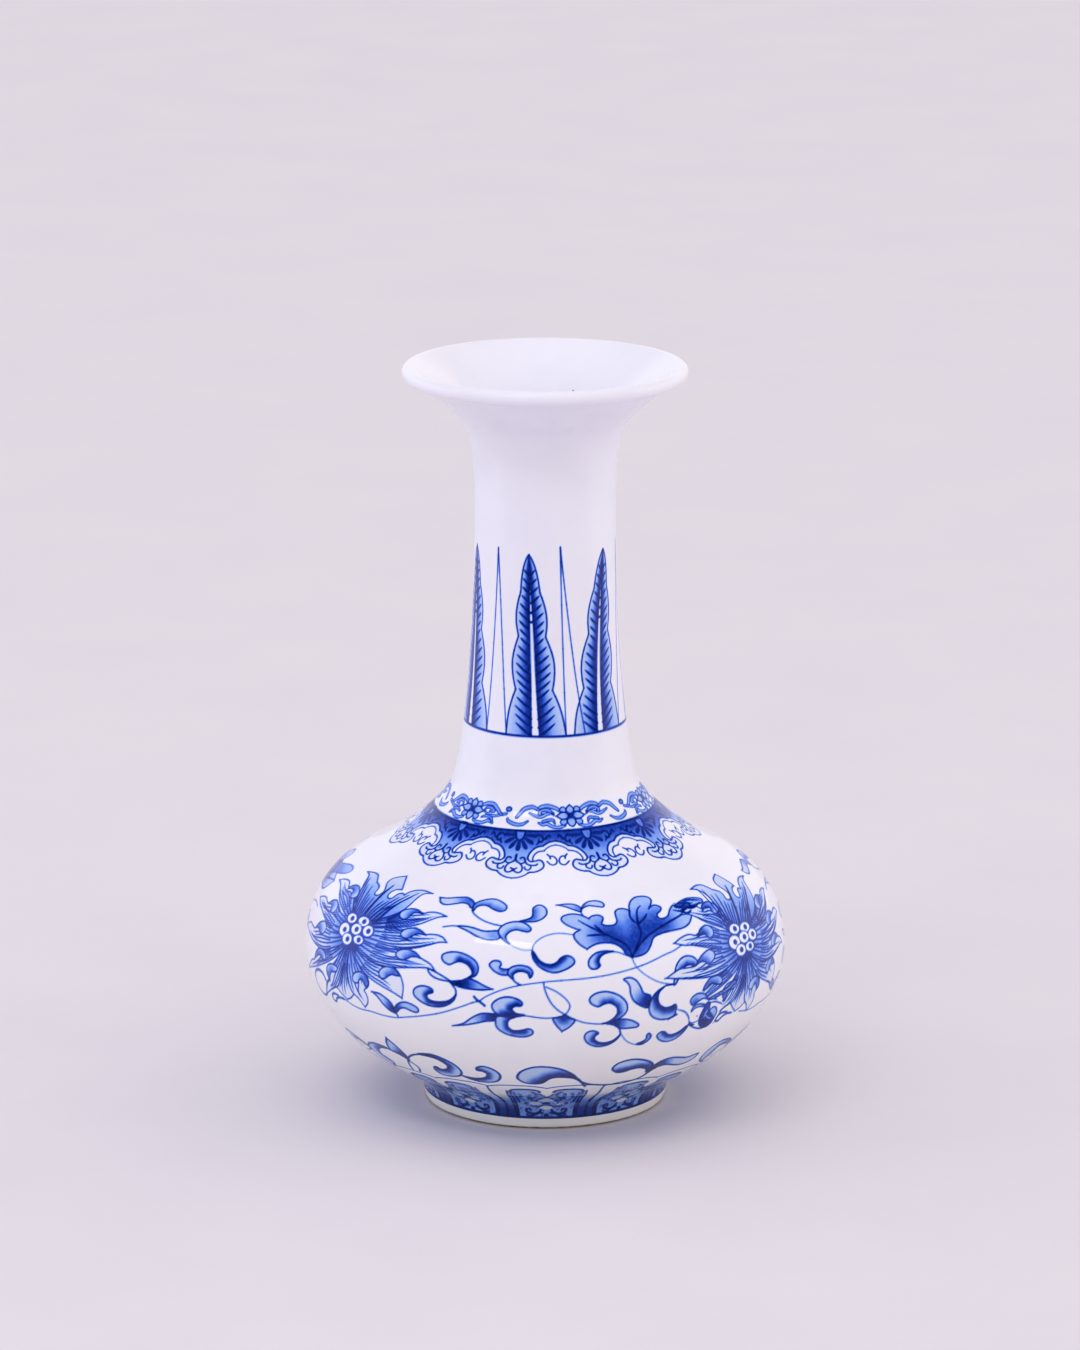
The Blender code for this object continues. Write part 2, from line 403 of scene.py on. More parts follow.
# --------------------------------------------------------------------------------------------- cloud collar
HEAD_COUNT = 10
HEAD_PITCH = 35.2  # one join in the print, at the back, takes up the rest of the turn
HEAD_TURN = -12.3

# Right halves, as (turn, run) with the turn counted from the middle of a head.
ARCH_OUTER = [
    (17.6, 104.8), (14.5, 104.4), (11.9, 103.4), (11.6, 103.25), (9.3, 103.0), (7.3, 102.2), (5.8, 101.0),
    (5.1, 99.8), (5.2, 98.9), (6.3, 98.25), (8.3, 98.45), (9.8, 98.75), (11.0, 98.4), (11.8, 97.2),
    (11.3, 96.0), (9.7, 95.1), (8.0, 94.65), (6.1, 94.5), (6.0, 94.4),
]  # fmt: skip
HEAD_TIP = [(6.0, 94.4), (4.8, 93.6), (3.2, 92.9), (1.6, 92.5), (0.0, 92.35)]
ARCH_INNER = [(17.6, 103.6), (15.0, 103.2), (13.0, 102.4), (12.1, 101.7)]
ARCH_INNER_SIDE = [(12.1, 101.7), (10.4, 101.6), (8.7, 101.1), (7.5, 100.1), (7.1, 99.0), (7.4, 98.3)]
INNER_SCROLL = [
    (9.2, 97.4), (8.5, 97.0), (7.0, 96.9), (5.5, 97.15), (4.5, 97.7), (4.1, 98.5), (3.6, 99.3),
    (2.6, 99.45), (2.0, 99.15),
]  # fmt: skip
SCROLL_LINK = [(4.2, 98.1), (3.4, 97.6), (2.4, 97.4)]
HEART = [
    (0.0, 98.7), (0.8, 98.0), (2.0, 97.55), (3.0, 96.7), (3.4, 95.6), (3.0, 94.7), (1.9, 94.35),
    (0.7, 94.7), (0.0, 95.5),
]  # fmt: skip
HEART_TICK = [(0.0, 95.0), (0.5, 95.5), (1.2, 95.85)]
SIDE_CURL = [(6.5, 96.9), (6.7, 96.1), (6.1, 95.5), (5.2, 95.35), (4.5, 95.7), (4.2, 96.3)]
ARCH_HOOK = [
    (14.5, 99.9), (15.6, 100.0), (16.7, 99.4), (17.15, 98.4), (16.7, 97.5), (15.5, 97.1), (14.3, 97.4),
    (13.1, 98.3),
]  # fmt: skip
ARCH_TICK = [(13.3, 100.6), (14.2, 100.0), (14.5, 99.2)]
PETALS = [
    ((2.9, 106.5), (7.2, 106.4), 0.85),
    ((2.8, 105.5), (6.2, 104.1), 0.95),
    ((1.6, 104.6), (3.6, 102.5), 0.95),
    ((0.0, 104.4), (-0.1, 102.0), 1.0),
]  # fmt: skip
COLLAR_TOP = 108.0
COLLAR_LINES = [
    (ARCH_OUTER, 0.46, 0.80),
    (HEAD_TIP, 0.42, 0.76),
    (ARCH_INNER, 0.36, 0.68),
    (ARCH_INNER_SIDE, 0.40, 0.74),
    (INNER_SCROLL, 0.46, 0.80),
    (SCROLL_LINK, 0.44, 0.80),
    (HEART, 0.46, 0.80),
    (HEART_TICK, 0.42, 0.78),
    (SIDE_CURL, 0.44, 0.78),
    (ARCH_HOOK, 0.44, 0.74),
    (ARCH_TICK, 0.44, 0.76),
]  # fmt: skip
FAN_SCROLL = [
    [
        (8.0, 106.1), (9.2, 106.6), (10.6, 106.7), (11.7, 106.0), (12.0, 105.2), (11.2, 104.6),
        (10.0, 104.5), (8.7, 103.7),
    ],
    [(11.9, 105.2), (13.2, 105.5), (14.0, 106.3), (15.0, 106.6), (15.4, 105.9)],
    [(10.0, 104.4), (9.6, 105.1)],
]  # fmt: skip


def fan_squeeze(turn, run):
    """The print draws together a little towards the shoulder line, most at the sides of the vase."""
    share = min(max((run - 99.0) / 9.0, 0.0), 1.0)
    return -3.3 * share * math.sin(math.radians(turn - HEAD_TURN))


def on_collar(points, head, mirror, stretch=1.0):
    out = []
    for point in points:
        turn = head + mirror * stretch * point[0]
        out.append((turn + fan_squeeze(turn, point[1]), point[1], *point[2:]))
    return out


def collar_head(head, stretch_left, stretch_right):
    """One ruyi head of the collar, the blue band above it and half of the arches at its two sides."""
    sides = ((-1, stretch_left), (1, stretch_right))
    halves = []
    for mirror, stretch in sides:
        reach = [(18.3, COLLAR_TOP), (18.3, 104.8)] + ARCH_OUTER[:9] + [(3.6, 98.2), (0.0, 98.0)]
        halves.append(on_collar(reach, head, mirror, stretch))
    band = halves[0] + halves[1][::-1]
    fill(band, 0.74, toward=((head, 107.5), (head, 99.5), 0.36), line_width=0, smooth=False)
    inside = [(0.0, 98.0), (3.6, 98.2)] + ARCH_OUTER[9:] + HEAD_TIP[1:]
    body = on_collar(inside, head, -1, stretch_left) + on_collar(inside, head, 1, stretch_right)[::-1]
    fill(body, 0.08, toward=((head, 96.5), (head, 99.5), 0.24), line_width=0, smooth=False)
    for mirror, stretch in sides:
        rim = ARCH_OUTER[:8] + ARCH_INNER_SIDE[::-1][1:] + ARCH_INNER[::-1]
        fill(on_collar(rim, head, mirror, stretch), 0.07, line_width=0, smooth=False)
    for mirror, stretch in sides:
        for way, width, tone in COLLAR_LINES:
            line(on_collar(way, head, mirror, stretch), width, tone)
    line(on_collar([(0.0, 100.2), (0.0, 98.5)], head, 1), 0.62, 0.85)


def collar_fan(head):
    """A half daisy hanging from the shoulder line, with its petals and scrolls."""
    centre = head + fan_squeeze(head, COLLAR_TOP)
    disc = [(2.35 * math.sin(a), 107.3 - 2.4 * math.cos(a)) for a in np.linspace(-1.7, 1.7, 9)]
    fill(placed(disc + [(0.0, 107.9)], centre), 0.50, edge=0.85, line_width=0.5)
    for mirror in (-1, 1):
        for start, end, width in PETALS:
            a = (start[0], start[1], 0.45)
            b = (start[0] * 0.3 + end[0] * 0.7, start[1] * 0.3 + end[1] * 0.7, width)
            c = (end[0], end[1], width * 0.75)
            spine = [(centre + mirror * x, y, w) for x, y, w in (a, b, c)]
            brush(spine, (0.93, 0.93), edge=0.93, line_width=0.2)
        for way in FAN_SCROLL:
            line([(centre + mirror * x * 0.95, y) for x, y in way], 0.5, 0.84, taper=(0.8, 0.6))


def collar():
    heads = [HEAD_TURN + HEAD_PITCH * k for k in range(-4, HEAD_COUNT - 4)]
    wide = (360 - HEAD_PITCH * (HEAD_COUNT - 1)) / HEAD_PITCH
    for k, head in enumerate(heads):
        collar_head(head, wide if k == 0 else 1.0, wide if k == HEAD_COUNT - 1 else 1.0)
    for head in heads:
        collar_fan(head)
    line([(turn, shoulder_line(turn)) for turn in range(-180, 181, 4)], 0.62, 0.93)


def shoulder_line(turn):
    """The dark line at the top of the collar isn't quite level."""
    return 107.8 + 0.45 * math.sin(math.radians(turn + 5))


# --------------------------------------------------------------------------- small flowers above the collar
FLOWER_COUNT, FLOWER_TURN, FLOWER_RUN = 6, 14.5, 112.1
BERRY_TURN, BERRY_RUN = 35.9, 113.6  # a berry at each side of every other flower, counted from its middle
UPPER_PETALS = [
    [(0.0, 112.5), (-2.2, 113.4), (-1.9, 114.3), (0.0, 115.0), (0.0, 115.0), (1.9, 114.3), (2.2, 113.4)],
    [(0.0, 111.6), (-2.3, 110.9), (-1.9, 109.7), (0.0, 108.95), (1.9, 109.7), (2.3, 110.9)],
]
SIDE_PETAL = [
    (1.2, 112.1), (2.6, 113.0), (5.4, 113.0), (8.2, 112.1), (8.2, 112.1), (5.4, 111.2), (2.6, 111.3),
]  # fmt: skip
CORNER_PETALS = [
    [(2.3, 113.3), (3.0, 114.4), (5.0, 114.5), (6.2, 113.7), (4.6, 113.1)],
    [(2.3, 110.9), (3.2, 109.7), (5.4, 109.6), (6.3, 110.4), (4.8, 111.2)],
]
# Leafy scrolls at the right of a flower: (turn from the flower's middle, run, width) spines.
FLOWER_SCROLLS = [
    (
        [(5.6, 113.4, 0.7), (8.5, 114.3, 0.9), (13.0, 114.9, 0.95), (16.8, 114.6, 0.9), (19.0, 113.9, 0.6)],
        (0.25, 0.45),
    ),
    (
        [
            (9.6, 112.4, 0.3), (11.5, 113.4, 0.8), (14.5, 113.9, 0.85), (17.5, 113.3, 0.8),
            (17.2, 112.4, 0.7), (15.3, 112.6, 0.5),
        ],
        (0.3, 0.5),
    ),
    (
        [
            (9.5, 113.0, 0.2), (13.5, 112.7, 0.7), (17.0, 111.9, 0.75), (20.5, 112.3, 0.6),
            (23.5, 112.9, 0.3),
        ],
        (0.2, 0.3),
    ),
    (
        [
            (18.5, 113.9, 0.6), (22.0, 114.6, 0.9), (26.5, 114.0, 1.0), (29.0, 112.6, 0.9),
            (30.5, 111.6, 0.7),
        ],
        (0.3, 0.45),
    ),
    (
        [
            (4.0, 109.4, 0.6), (7.0, 108.9, 0.8), (10.5, 109.1, 0.8), (13.6, 110.0, 0.85),
            (15.5, 109.7, 0.8), (18.0, 110.2, 0.4),
        ],
        (0.25, 0.4),
    ),
    ([(9.3, 110.0, 0.3), (10.3, 111.0, 0.7), (12.8, 111.0, 0.75), (15.6, 110.6, 0.7)], (0.3, 0.45)),
    (
        [
            (24.0, 110.6, 0.4), (27.0, 109.6, 0.8), (30.5, 109.5, 0.9), (34.5, 110.2, 0.8),
            (35.6, 110.9, 0.5),
        ],
        (0.3, 0.45),
    ),
]  # fmt: skip
SHORT_SCROLLS = [
    (
        [
            (5.6, 113.4, 0.7), (9.0, 114.3, 0.9), (13.5, 114.4, 0.95), (17.0, 113.2, 0.9),
            (20.0, 112.0, 0.7), (23.0, 112.3, 0.6),
        ],
        (0.25, 0.45),
    ),
    (
        [(8.8, 112.6, 0.4), (10.4, 113.4, 0.7), (13.4, 113.2, 0.8), (15.0, 112.5, 0.7), (12.6, 112.4, 0.5)],
        (0.3, 0.5),
    ),
    ([(8.8, 112.2, 0.3), (12.0, 111.5, 0.5), (16.5, 111.3, 0.6), (20.5, 111.9, 0.5)], (0.2, 0.3)),
    (
        [(4.0, 109.2, 0.6), (7.0, 108.7, 0.8), (10.5, 108.9, 0.8), (13.6, 109.7, 0.85), (16.3, 109.2, 0.5)],
        (0.25, 0.4),
    ),
    ([(8.6, 110.4, 0.4), (11.0, 110.9, 0.7), (14.2, 110.7, 0.7), (15.6, 109.8, 0.6)], (0.3, 0.45)),
]  # fmt: skip


def flower_scrolls(middle, mirror, scrolls):
    for scroll, tones in scrolls:
        spine = [(middle + mirror * x, y, w) for x, y, w in scroll]
        brush(spine, tones if mirror > 0 else tones[::-1], edge=0.84, line_width=0.30)


def flower_band():
    for k in range(FLOWER_COUNT):
        middle = FLOWER_TURN + 360.0 / FLOWER_COUNT * k
        for mirror in (-1, 1):
            flower_scrolls(middle, mirror, SHORT_SCROLLS if k % 2 else FLOWER_SCROLLS)
        for mirror in (-1, 1):
            for petal in CORNER_PETALS:
                fill(placed(petal, middle, 0, mirror), 0.34, edge=0.78, line_width=0.3)
        heart = (middle, FLOWER_RUN)
        for petal in UPPER_PETALS:
            fill(placed(petal, middle), 0.30, focus=(heart, 2.0, 0.6), edge=0.82)
        for mirror in (-1, 1):
            fill(placed(SIDE_PETAL, middle, 0, mirror), 0.30, focus=(heart, 2.0, 0.62), edge=0.82)
        fill(oval(middle, FLOWER_RUN, 1.0, 0.55), 0.9, edge=0.85)
        if k % 2 == 0:
            for mirror in (-1, 1):
                fill(oval(middle + mirror * BERRY_TURN, BERRY_RUN, 1.6, 0.6), 0.5, edge=0.8)


# -------------------------------------------------------------------------------- the panels round the foot
PANELS = 10
PANEL_TURN = 0.5
BROW = [(-12.0, 19.4), (-11.0, 21.0), (-8.6, 21.7), (-5.2, 21.7), (-2.8, 20.9), (-2.2, 19.7)]
PANEL_EDGE = [(11.5, 20.2), (11.9, 17.0), (12.2, 12.0), (12.8, 6.0), (12.6, 0.2)]
STRIP_LINE = [(17.6, 22.4), (17.5, 20.0), (17.9, 12.0), (18.2, 6.0), (18.2, 0.2)]
STRIP_LOW, STRIP_TOP, STRIP_HIGH = 13.0, 12.2, 22.3  # where the strip between two panels starts
PANEL_INSIDE = [
    (-12, 20.2), (-9, 21.4), (-4, 21.4), (-2.2, 20.2), (-2.0, 18.4), (0, 15.4), (2.0, 18.4), (2.2, 20.2),
    (4, 21.4), (9, 21.4), (12, 20.2), (12.2, 12), (12.9, 6), (12.6, 0), (-12.6, 0), (-12.9, 6), (-12.2, 12),
]  # fmt: skip
SHINE = [(-9.0, 18.4), (-8.0, 20.6), (-6.2, 20.6), (-5.6, 18.4), (-7.0, 16.5)]
SQUIGGLES = 44
# Small ovals on a panel's middle line: (run, half width in degrees, half height, tone).
BEADS = [(14.6, 0.8, 1.1, 0.82), (6.4, 1.5, 1.2, 0.95), (4.0, 2.9, 0.9, 0.14), (1.1, 1.2, 0.6, 0.95)]
FRAME_GAP = 1.25
PANEL_STREAKS = [
    ([(-8.0, 18.3), (-9.0, 16.4), (-8.4, 14.8)], 0.8, 0.80),
    ([(-4.6, 19.8), (-3.4, 17.8), (-3.6, 15.6)], 0.9, 0.78),
    ([(-6.2, 18.6), (-6.0, 15.0), (-6.6, 11.0)], 0.9, 0.66),
    ([(-9.4, 15.0), (-9.2, 11.5), (-8.6, 8.5)], 0.8, 0.62),
    ([(-4.4, 14.5), (-5.2, 11.5), (-5.4, 9.0)], 1.0, 0.80),
    ([(-2.1, 18.2), (-1.6, 16.6), (-0.2, 14.9)], 0.7, 0.90),
    ([(-0.2, 14.2), (-1.8, 12.8), (-3.4, 10.8), (-4.2, 8.2)], 0.9, 0.80),
    ([(-10.6, 19.0), (-10.8, 13.0), (-11.2, 7.0)], 0.7, 0.66),
    ([(-4.0, 5.3), (-5.6, 4.6), (-6.6, 5.4)], 0.55, 0.85),
    ([(-8.2, 7.2), (-8.7, 6.3), (-8.1, 5.7)], 0.7, 0.8),
    ([(-1.2, 5.6), (-2.6, 4.6), (-4.2, 4.2)], 0.6, 0.86),
    (
        [
            (-2.2, 3.4), (-3.0, 2.3), (-5.0, 1.6), (-7.2, 1.7), (-8.9, 2.4), (-8.8, 3.3), (-7.4, 3.4),
            (-7.0, 2.7),
        ],
        0.7,
        0.95,
    ),
    ([(-9.0, 1.3), (-7.6, 0.8), (-5.6, 1.2), (-3.4, 1.8), (-1.6, 1.9)], 0.55, 0.90),
]  # fmt: skip


def squiggles(middle, mirror, draws):
    """The fine scribble that fills half a panel."""
    for _ in range(SQUIGGLES):
        x, y = 0.8 + 10.6 * draws.random(), 0.8 + 18.6 * draws.random()
        lean, bend = draws.uniform(-0.9, 0.9, 2)
        squiggle = [(x - lean, y - 0.5), (x + bend * 0.6, y), (x + lean, y + 0.5 + 0.5 * draws.random())]
        line(placed(squiggle, middle, 0, mirror), 0.30, 0.42 + 0.26 * draws.random(), (0.4, 0.4))


def foot_panel(middle, draws):
    """One lappet: a double frame under two thick brows, a streaked wash, and small curls at the bottom."""
    upward = ((middle, 14.0), (middle, 21.5), 0.38)
    fill(placed(PANEL_INSIDE, middle), 0.43, toward=upward, line_width=0, smooth=False)
    for mirror in (-1, 1):
        fill(placed(SHINE, middle, 0, mirror), 0.34, line_width=0)
        squiggles(middle, mirror, draws)
        fill(placed(oval(-4.7, 6.7, 2.4, 1.45), middle, 0, mirror), 0.20, line_width=0)
        for way, width, tone in PANEL_STREAKS:
            line(placed(way, middle, 0, -mirror), width, tone, (0.7, 0.7))
    fill(placed([(-3.0, 8.7), (0, 12.6), (3.0, 8.7)], middle), 0.16, line_width=0)
    for run, across, up, tone in BEADS:
        fill(oval(middle, run, across, up), tone, line_width=0)
    for mirror in (-1, 1):
        edge = placed(PANEL_EDGE, middle, 0, mirror)
        outer = [(x + mirror * FRAME_GAP, y) for x, y in edge]
        downward = ((middle, 12.0), (middle, 1.0), 0.95)
        fill(edge + outer[::-1], 0.40, toward=downward, line_width=0, smooth=False)
        line(edge, 0.52, 0.92)
        line(outer, 0.52, 0.95)
        line(placed(BROW, middle, 0, mirror), 0.95, 0.83, (0.7, 0.8))


def foot_band(draws):
    """Ten lappets with shaded strips between them, and the line at the top of the foot ring."""
    pitch = 360.0 / PANELS
    middles = [PANEL_TURN + pitch * k for k in range(PANELS)]
    for middle in middles:
        end = middle + pitch
        strip = [(middle + STRIP_TOP, STRIP_HIGH), (end - STRIP_TOP, STRIP_HIGH)]
        strip += [(end - STRIP_LOW, 0.0), (middle + STRIP_LOW, 0.0)]
        fill(strip, 0.03, toward=((middle, 15.5), (middle, -1.0), 0.90), line_width=0, smooth=False)
    for middle in middles:
        foot_panel(middle, draws)
        line(placed(STRIP_LINE, middle), 0.7, 0.93, (0.6, 1.0))
    ring(0.3, 0.9, 0.93)


# -------------------------------------------------------------------------------------- the scroll's leaves
# Each leaf or comma of the scroll is an outline, its tone, and how its wash is graded: the place or path that
# it darkens towards, how far off that starts, and the tone there. Places are those of the front repeat.
def moved(points, turn, run):
    return [(x + turn, y + run) for x, y in points]


def wash(points, tone, place, reach, near):
    return points, tone, (place if isinstance(place, list) else [place, place], reach, near)


def leaf(washed, turn, run, edge=0.80, line_width=0.40):
    outline, tone, (way, reach, near) = washed
    fill(moved(outline, turn, run), tone, None, (moved(way, turn, run), reach, near), edge, line_width)


VINE_LEAVES = [
    # a pair of leaves over the vine, by the first blossom
    wash(
        [
            (-32.8, 82.3), (-32.8, 82.3), (-30, 82.6), (-27, 83.4), (-24.5, 83.8), (-22.5, 83.1),
            (-21.2, 81.8), (-21.6, 80.3), (-23, 81.4), (-25, 81.6), (-27.5, 80.8), (-30, 80.2),
            (-31.8, 80.8),
        ],
        0.20, (-22.5, 83), 6, 0.62,
    ),
    wash(
        [
            (-21.2, 81.2), (-20.3, 82.6), (-18, 83.8), (-15.5, 84.2), (-13, 83.3), (-11.3, 81.8),
            (-11.5, 80.4), (-13, 79.9), (-15, 80.5), (-17, 81.5), (-18.8, 81.5), (-20.1, 80.7),
            (-20.7, 79.3),
        ],
        0.26, [(-13, 80.1), (-15, 80.5), (-17, 81.5), (-18.8, 81.5), (-20.1, 80.7)], 2.2, 0.58,
    ),
    wash(
        [
            (-23.5, 74.3), (-20, 74.4), (-16, 73.6), (-12.2, 73.9), (-11.8, 71.8), (-14.5, 71.3),
            (-17.5, 71.9), (-20.5, 73.2),
        ],
        0.20, (-13, 72.5), 4, 0.42,
    ),
    wash(
        [
            (-7.2, 77), (-5, 77), (-2.8, 77.1), (-0.8, 78), (0.4, 79.5), (0.3, 81.2), (-0.8, 82.4),
            (-2.2, 82.6), (-3.5, 81.5), (-3.5, 79.8), (-3.7, 78.6), (-4.9, 77.8),
        ],
        0.24, [(-5, 77.6), (-3.6, 78.6), (-3.5, 80.5)], 2.6, 0.62,
    ),
    wash(
        [
            (-9.0, 70.5), (-11, 71.8), (-12.3, 73.8), (-11.3, 75.7), (-9, 76.8), (-6.5, 76.9), (-4.6, 76),
            (-3.7, 74.8), (-4.4, 74), (-5.9, 74.2), (-7.6, 74.5), (-9.2, 73.9), (-10.1, 72.7), (-9.9, 71.5),
        ],
        0.22, [(-4.4, 74), (-5.9, 74.2), (-7.6, 74.5), (-9.2, 73.9), (-10.1, 72.7)], 1.8, 0.52,
    ),
    wash(
        [
            (-18.5, 60.8), (-16.6, 61.6), (-16.1, 63.5), (-17, 65.3), (-19.2, 66.6), (-21.8, 67.2),
            (-24.2, 66.9), (-25.8, 65.9), (-25.3, 64.5), (-23.6, 63.7), (-22.4, 64.3), (-21, 64.8),
            (-19.2, 64.4), (-17.9, 63.2), (-17.5, 61.8),
        ],
        0.24, [(-21, 64.9), (-19.2, 64.4), (-17.8, 63), (-17.6, 61.4)], 2.3, 0.92,
    ),
    wash(
        [
            (-29, 62), (-29, 62), (-27, 61.4), (-25, 60.6), (-23.3, 59.8), (-22.8, 59.4), (-25, 59.5),
            (-27, 59.9), (-28.5, 60.9),
        ],
        0.06, (-23, 59.5), 2, 0.2,
    ),
    wash(
        [
            (-22.9, 59.3), (-20, 60), (-18.5, 60.7), (-16.5, 60.2), (-14.5, 59.2), (-12.5, 58.4),
            (-12.5, 58.4), (-15, 58), (-18, 58), (-20.5, 58.3),
        ],
        0.36, (-20.5, 59.3), 6, 1.0,
    ),
    wash(
        [
            (-21.2, 56.2), (-21.6, 54.7), (-23, 53.3), (-25, 52.4), (-27.5, 52.2), (-30, 52.9), (-32, 54.3),
            (-32.2, 55.8), (-31, 56.9), (-29.3, 57.3), (-27.5, 56.9), (-27, 56), (-27.7, 55.6),
            (-28.6, 55.1), (-28.3, 54.1), (-27, 53.6), (-25, 53.7), (-23, 54.3), (-21.7, 55.4),
        ],
        0.24, [(-27.6, 55.7), (-28.5, 54.9), (-28, 53.8), (-25, 53.4), (-22.6, 54.4)], 2.2, 0.95,
    ),
    wash(
        [
            (-13.4, 65), (-12.5, 65.8), (-11, 65.7), (-10.6, 64.8), (-10.9, 64.1), (-9.8, 63.7),
            (-8.8, 63.7), (-8.8, 62.4), (-10.5, 62.3), (-12.3, 63.2), (-13.4, 64.4),
        ],
        0.25, (-10, 63.8), 2.0, 0.65,
    ),
    wash(
        [
            (-8.9, 62.6), (-8.7, 63.7), (-7.8, 64.5), (-6, 64.9), (-4, 64.5), (-3, 63.4), (-3.1, 62.3),
            (-3.6, 61.7), (-4.1, 62.8), (-5.2, 63.3), (-6.6, 63.2), (-7.6, 62.4), (-7.5, 61.3),
            (-8.2, 61.7),
        ],
        0.32, [(-3.8, 61.8), (-4.1, 62.8), (-5.2, 63.3), (-6.6, 63.2), (-7.6, 62.4)], 1.4, 0.85,
    ),
    wash(
        [
            (-22, 47.4), (-22, 47.4), (-19.5, 48.4), (-17.3, 50.3), (-15, 51.7), (-12.5, 51.9),
            (-10.3, 51.6), (-11.8, 50), (-14, 49.6), (-17, 48.6), (-19.5, 47.9),
        ],
        0.24, (-11.5, 51.2), 7, 0.92,
    ),
    wash(
        [
            (-11, 51.3), (-11.6, 49.6), (-11.3, 47.9), (-9.5, 46.3), (-7, 45.5), (-4.6, 45.5), (-3.1, 46.3),
            (-2.9, 47.3), (-3.9, 48), (-5.5, 47.5), (-7.4, 47.3), (-8.6, 48.2), (-8.8, 49.6), (-8.1, 50.7),
            (-7, 51.3),
        ],
        0.30, [(-8, 50.9), (-8.8, 49.6), (-8.6, 48.2), (-7.3, 47.2), (-5, 47.2)], 2.0, 0.90,
    ),
    wash(
        [
            (-10.8, 51.6), (-12.2, 53), (-12.3, 54.6), (-10.8, 56), (-8.8, 56.6), (-6.6, 56.2),
            (-5.3, 55.2), (-5.6, 54.3), (-7, 54.2), (-7.7, 53.4), (-6.8, 52.3), (-4.8, 51.9), (-7, 51.3),
            (-9.2, 51.2),
        ],
        0.24, [(-6.5, 54.4), (-7.9, 53.6), (-6.8, 52.2), (-9.8, 51.6)], 2.4, 0.95,
    ),
    # under the loop and to its right
    wash(
        [
            (1.8, 51), (2.4, 49.3), (3.9, 47.2), (3.9, 47.2), (5.6, 48.4), (6.9, 50.3), (5.5, 51.1),
            (4.6, 52.1), (4.6, 52.1), (3.2, 51.3),
        ],
        0.30, (4.3, 51.2), 3.2, 0.82,
    ),
    wash(
        [
            (13.3, 48.9), (15.5, 49.2), (17.5, 50.1), (19, 51.5), (19.4, 53.2), (18.7, 55), (17, 56.6),
            (14.5, 57.6), (12, 57.4), (10.4, 56.2), (10.6, 54.8), (12.3, 53.8), (13.8, 54.4), (15.3, 54.5),
            (16.7, 53.4), (17, 51.9), (16.2, 50.4), (14.8, 49.4),
        ],
        0.22, [(13.8, 54.4), (15.3, 54.5), (16.7, 53.4), (17, 51.9), (16, 50.4)], 2.4, 0.80,
    ),
    wash(
        [
            (15.3, 49.2), (17, 49.8), (19, 49.7), (21, 48.9), (22.4, 47.7), (22.2, 47), (20, 46.9),
            (18, 47.1), (16.5, 48.1),
        ],
        0.30, (16.5, 49), 4.2, 0.95,
    ),
    wash(
        [
            (18, 45), (17, 43.2), (15, 41.9), (12.5, 41.7), (10.3, 43), (9.3, 45), (9.8, 46.5), (11.2, 47),
            (12.4, 46.5), (12.6, 45.9), (11.9, 45.3), (11.8, 44.2), (13, 43.1), (14.8, 42.9), (16.5, 43.5),
        ],
        0.28, [(12.3, 45.4), (11.7, 44.2), (13, 43.1), (14.8, 42.9), (16.6, 43.8)], 2.0, 0.95,
    ),
    wash(
        [
            (22.8, 41.1), (24.3, 40.9), (25.8, 42), (26.3, 43.4), (25.5, 44.5), (25, 43.8), (25.1, 42.8),
            (24.3, 42), (23, 41.5),
        ],
        0.45, (24, 41.5), 2.0, 0.95,
    ),
    wash(
        [
            (17, 67.9), (14.5, 68.2), (12.5, 67.8), (10.9, 66.5), (10.4, 65), (11, 63.8), (12.4, 63.7),
            (13.3, 64.5), (13, 65.5), (13.6, 66.8), (15, 67.6),
        ],
        0.26, [(13.2, 64.6), (13, 65.5), (13.7, 66.8), (15, 67.6)], 1.9, 0.88,
    ),
    wash(
        [
            (-3.2, 68.7), (-2.9, 66.6), (-1, 64.3), (2, 63.1), (5, 63.9), (7, 65.4), (6.8, 66.7),
            (5.4, 67.5), (3.9, 67), (2.8, 65.8), (1.5, 65.2), (0, 65.4), (-1.5, 66.4), (-2.5, 68),
        ],
        0.34, [(4.2, 67.1), (2.8, 65.8), (1.5, 65.2), (0, 65.4), (-1.6, 66.5), (-2.7, 68)], 2.0, 0.95,
    ),
    wash(
        [
            (31.6, 57.2), (31.9, 59.3), (32.7, 61.8), (34.3, 63.5), (36.3, 64), (38.2, 63.3), (39.2, 61.8),
            (39.2, 60.4), (38.5, 60), (37.6, 61.2), (36, 61.6), (34.4, 60.8), (33.4, 59.2), (32.3, 57.6),
        ],
        0.22, [(37.6, 61.2), (36, 61.6), (34.4, 60.8), (33.2, 59)], 2.0, 0.82,
    ),
    wash(
        [
            (18.7, 60.4), (20.3, 60.7), (21.8, 59.8), (22.8, 58), (23.5, 56.3), (25.2, 55.3), (24.8, 53.5),
            (24.4, 52.2), (22.5, 53.1), (20.9, 54.6), (20.2, 56.5), (20.1, 58.3), (19.5, 59.6),
        ],
        0.16, (24.5, 53.5), 6, 0.92,
    ),
    wash(
        [
            (28.7, 57), (27, 56.2), (25.5, 54.5), (24.8, 52), (25.5, 49.8), (27.3, 48.5), (29.5, 48.1),
            (31.5, 48.7), (32.2, 50.2), (31.9, 51.9), (30.5, 51.5), (29, 51.5), (27.6, 52.6), (27.1, 54.3),
            (27.6, 56),
        ],
        0.26, [(31, 51.4), (29, 51.5), (27.6, 52.6), (27.1, 54.3), (27.8, 56.2)], 3.0, 0.95,
    ),
    wash(
        [
            (36.5, 44.6), (35.5, 42.5), (33.5, 40.8), (31, 40.5), (28.9, 41.6), (27.9, 43.2), (28.8, 44.3),
            (30, 44), (31, 43), (32.6, 42.7), (34.5, 43.5), (35.8, 44.6),
        ],
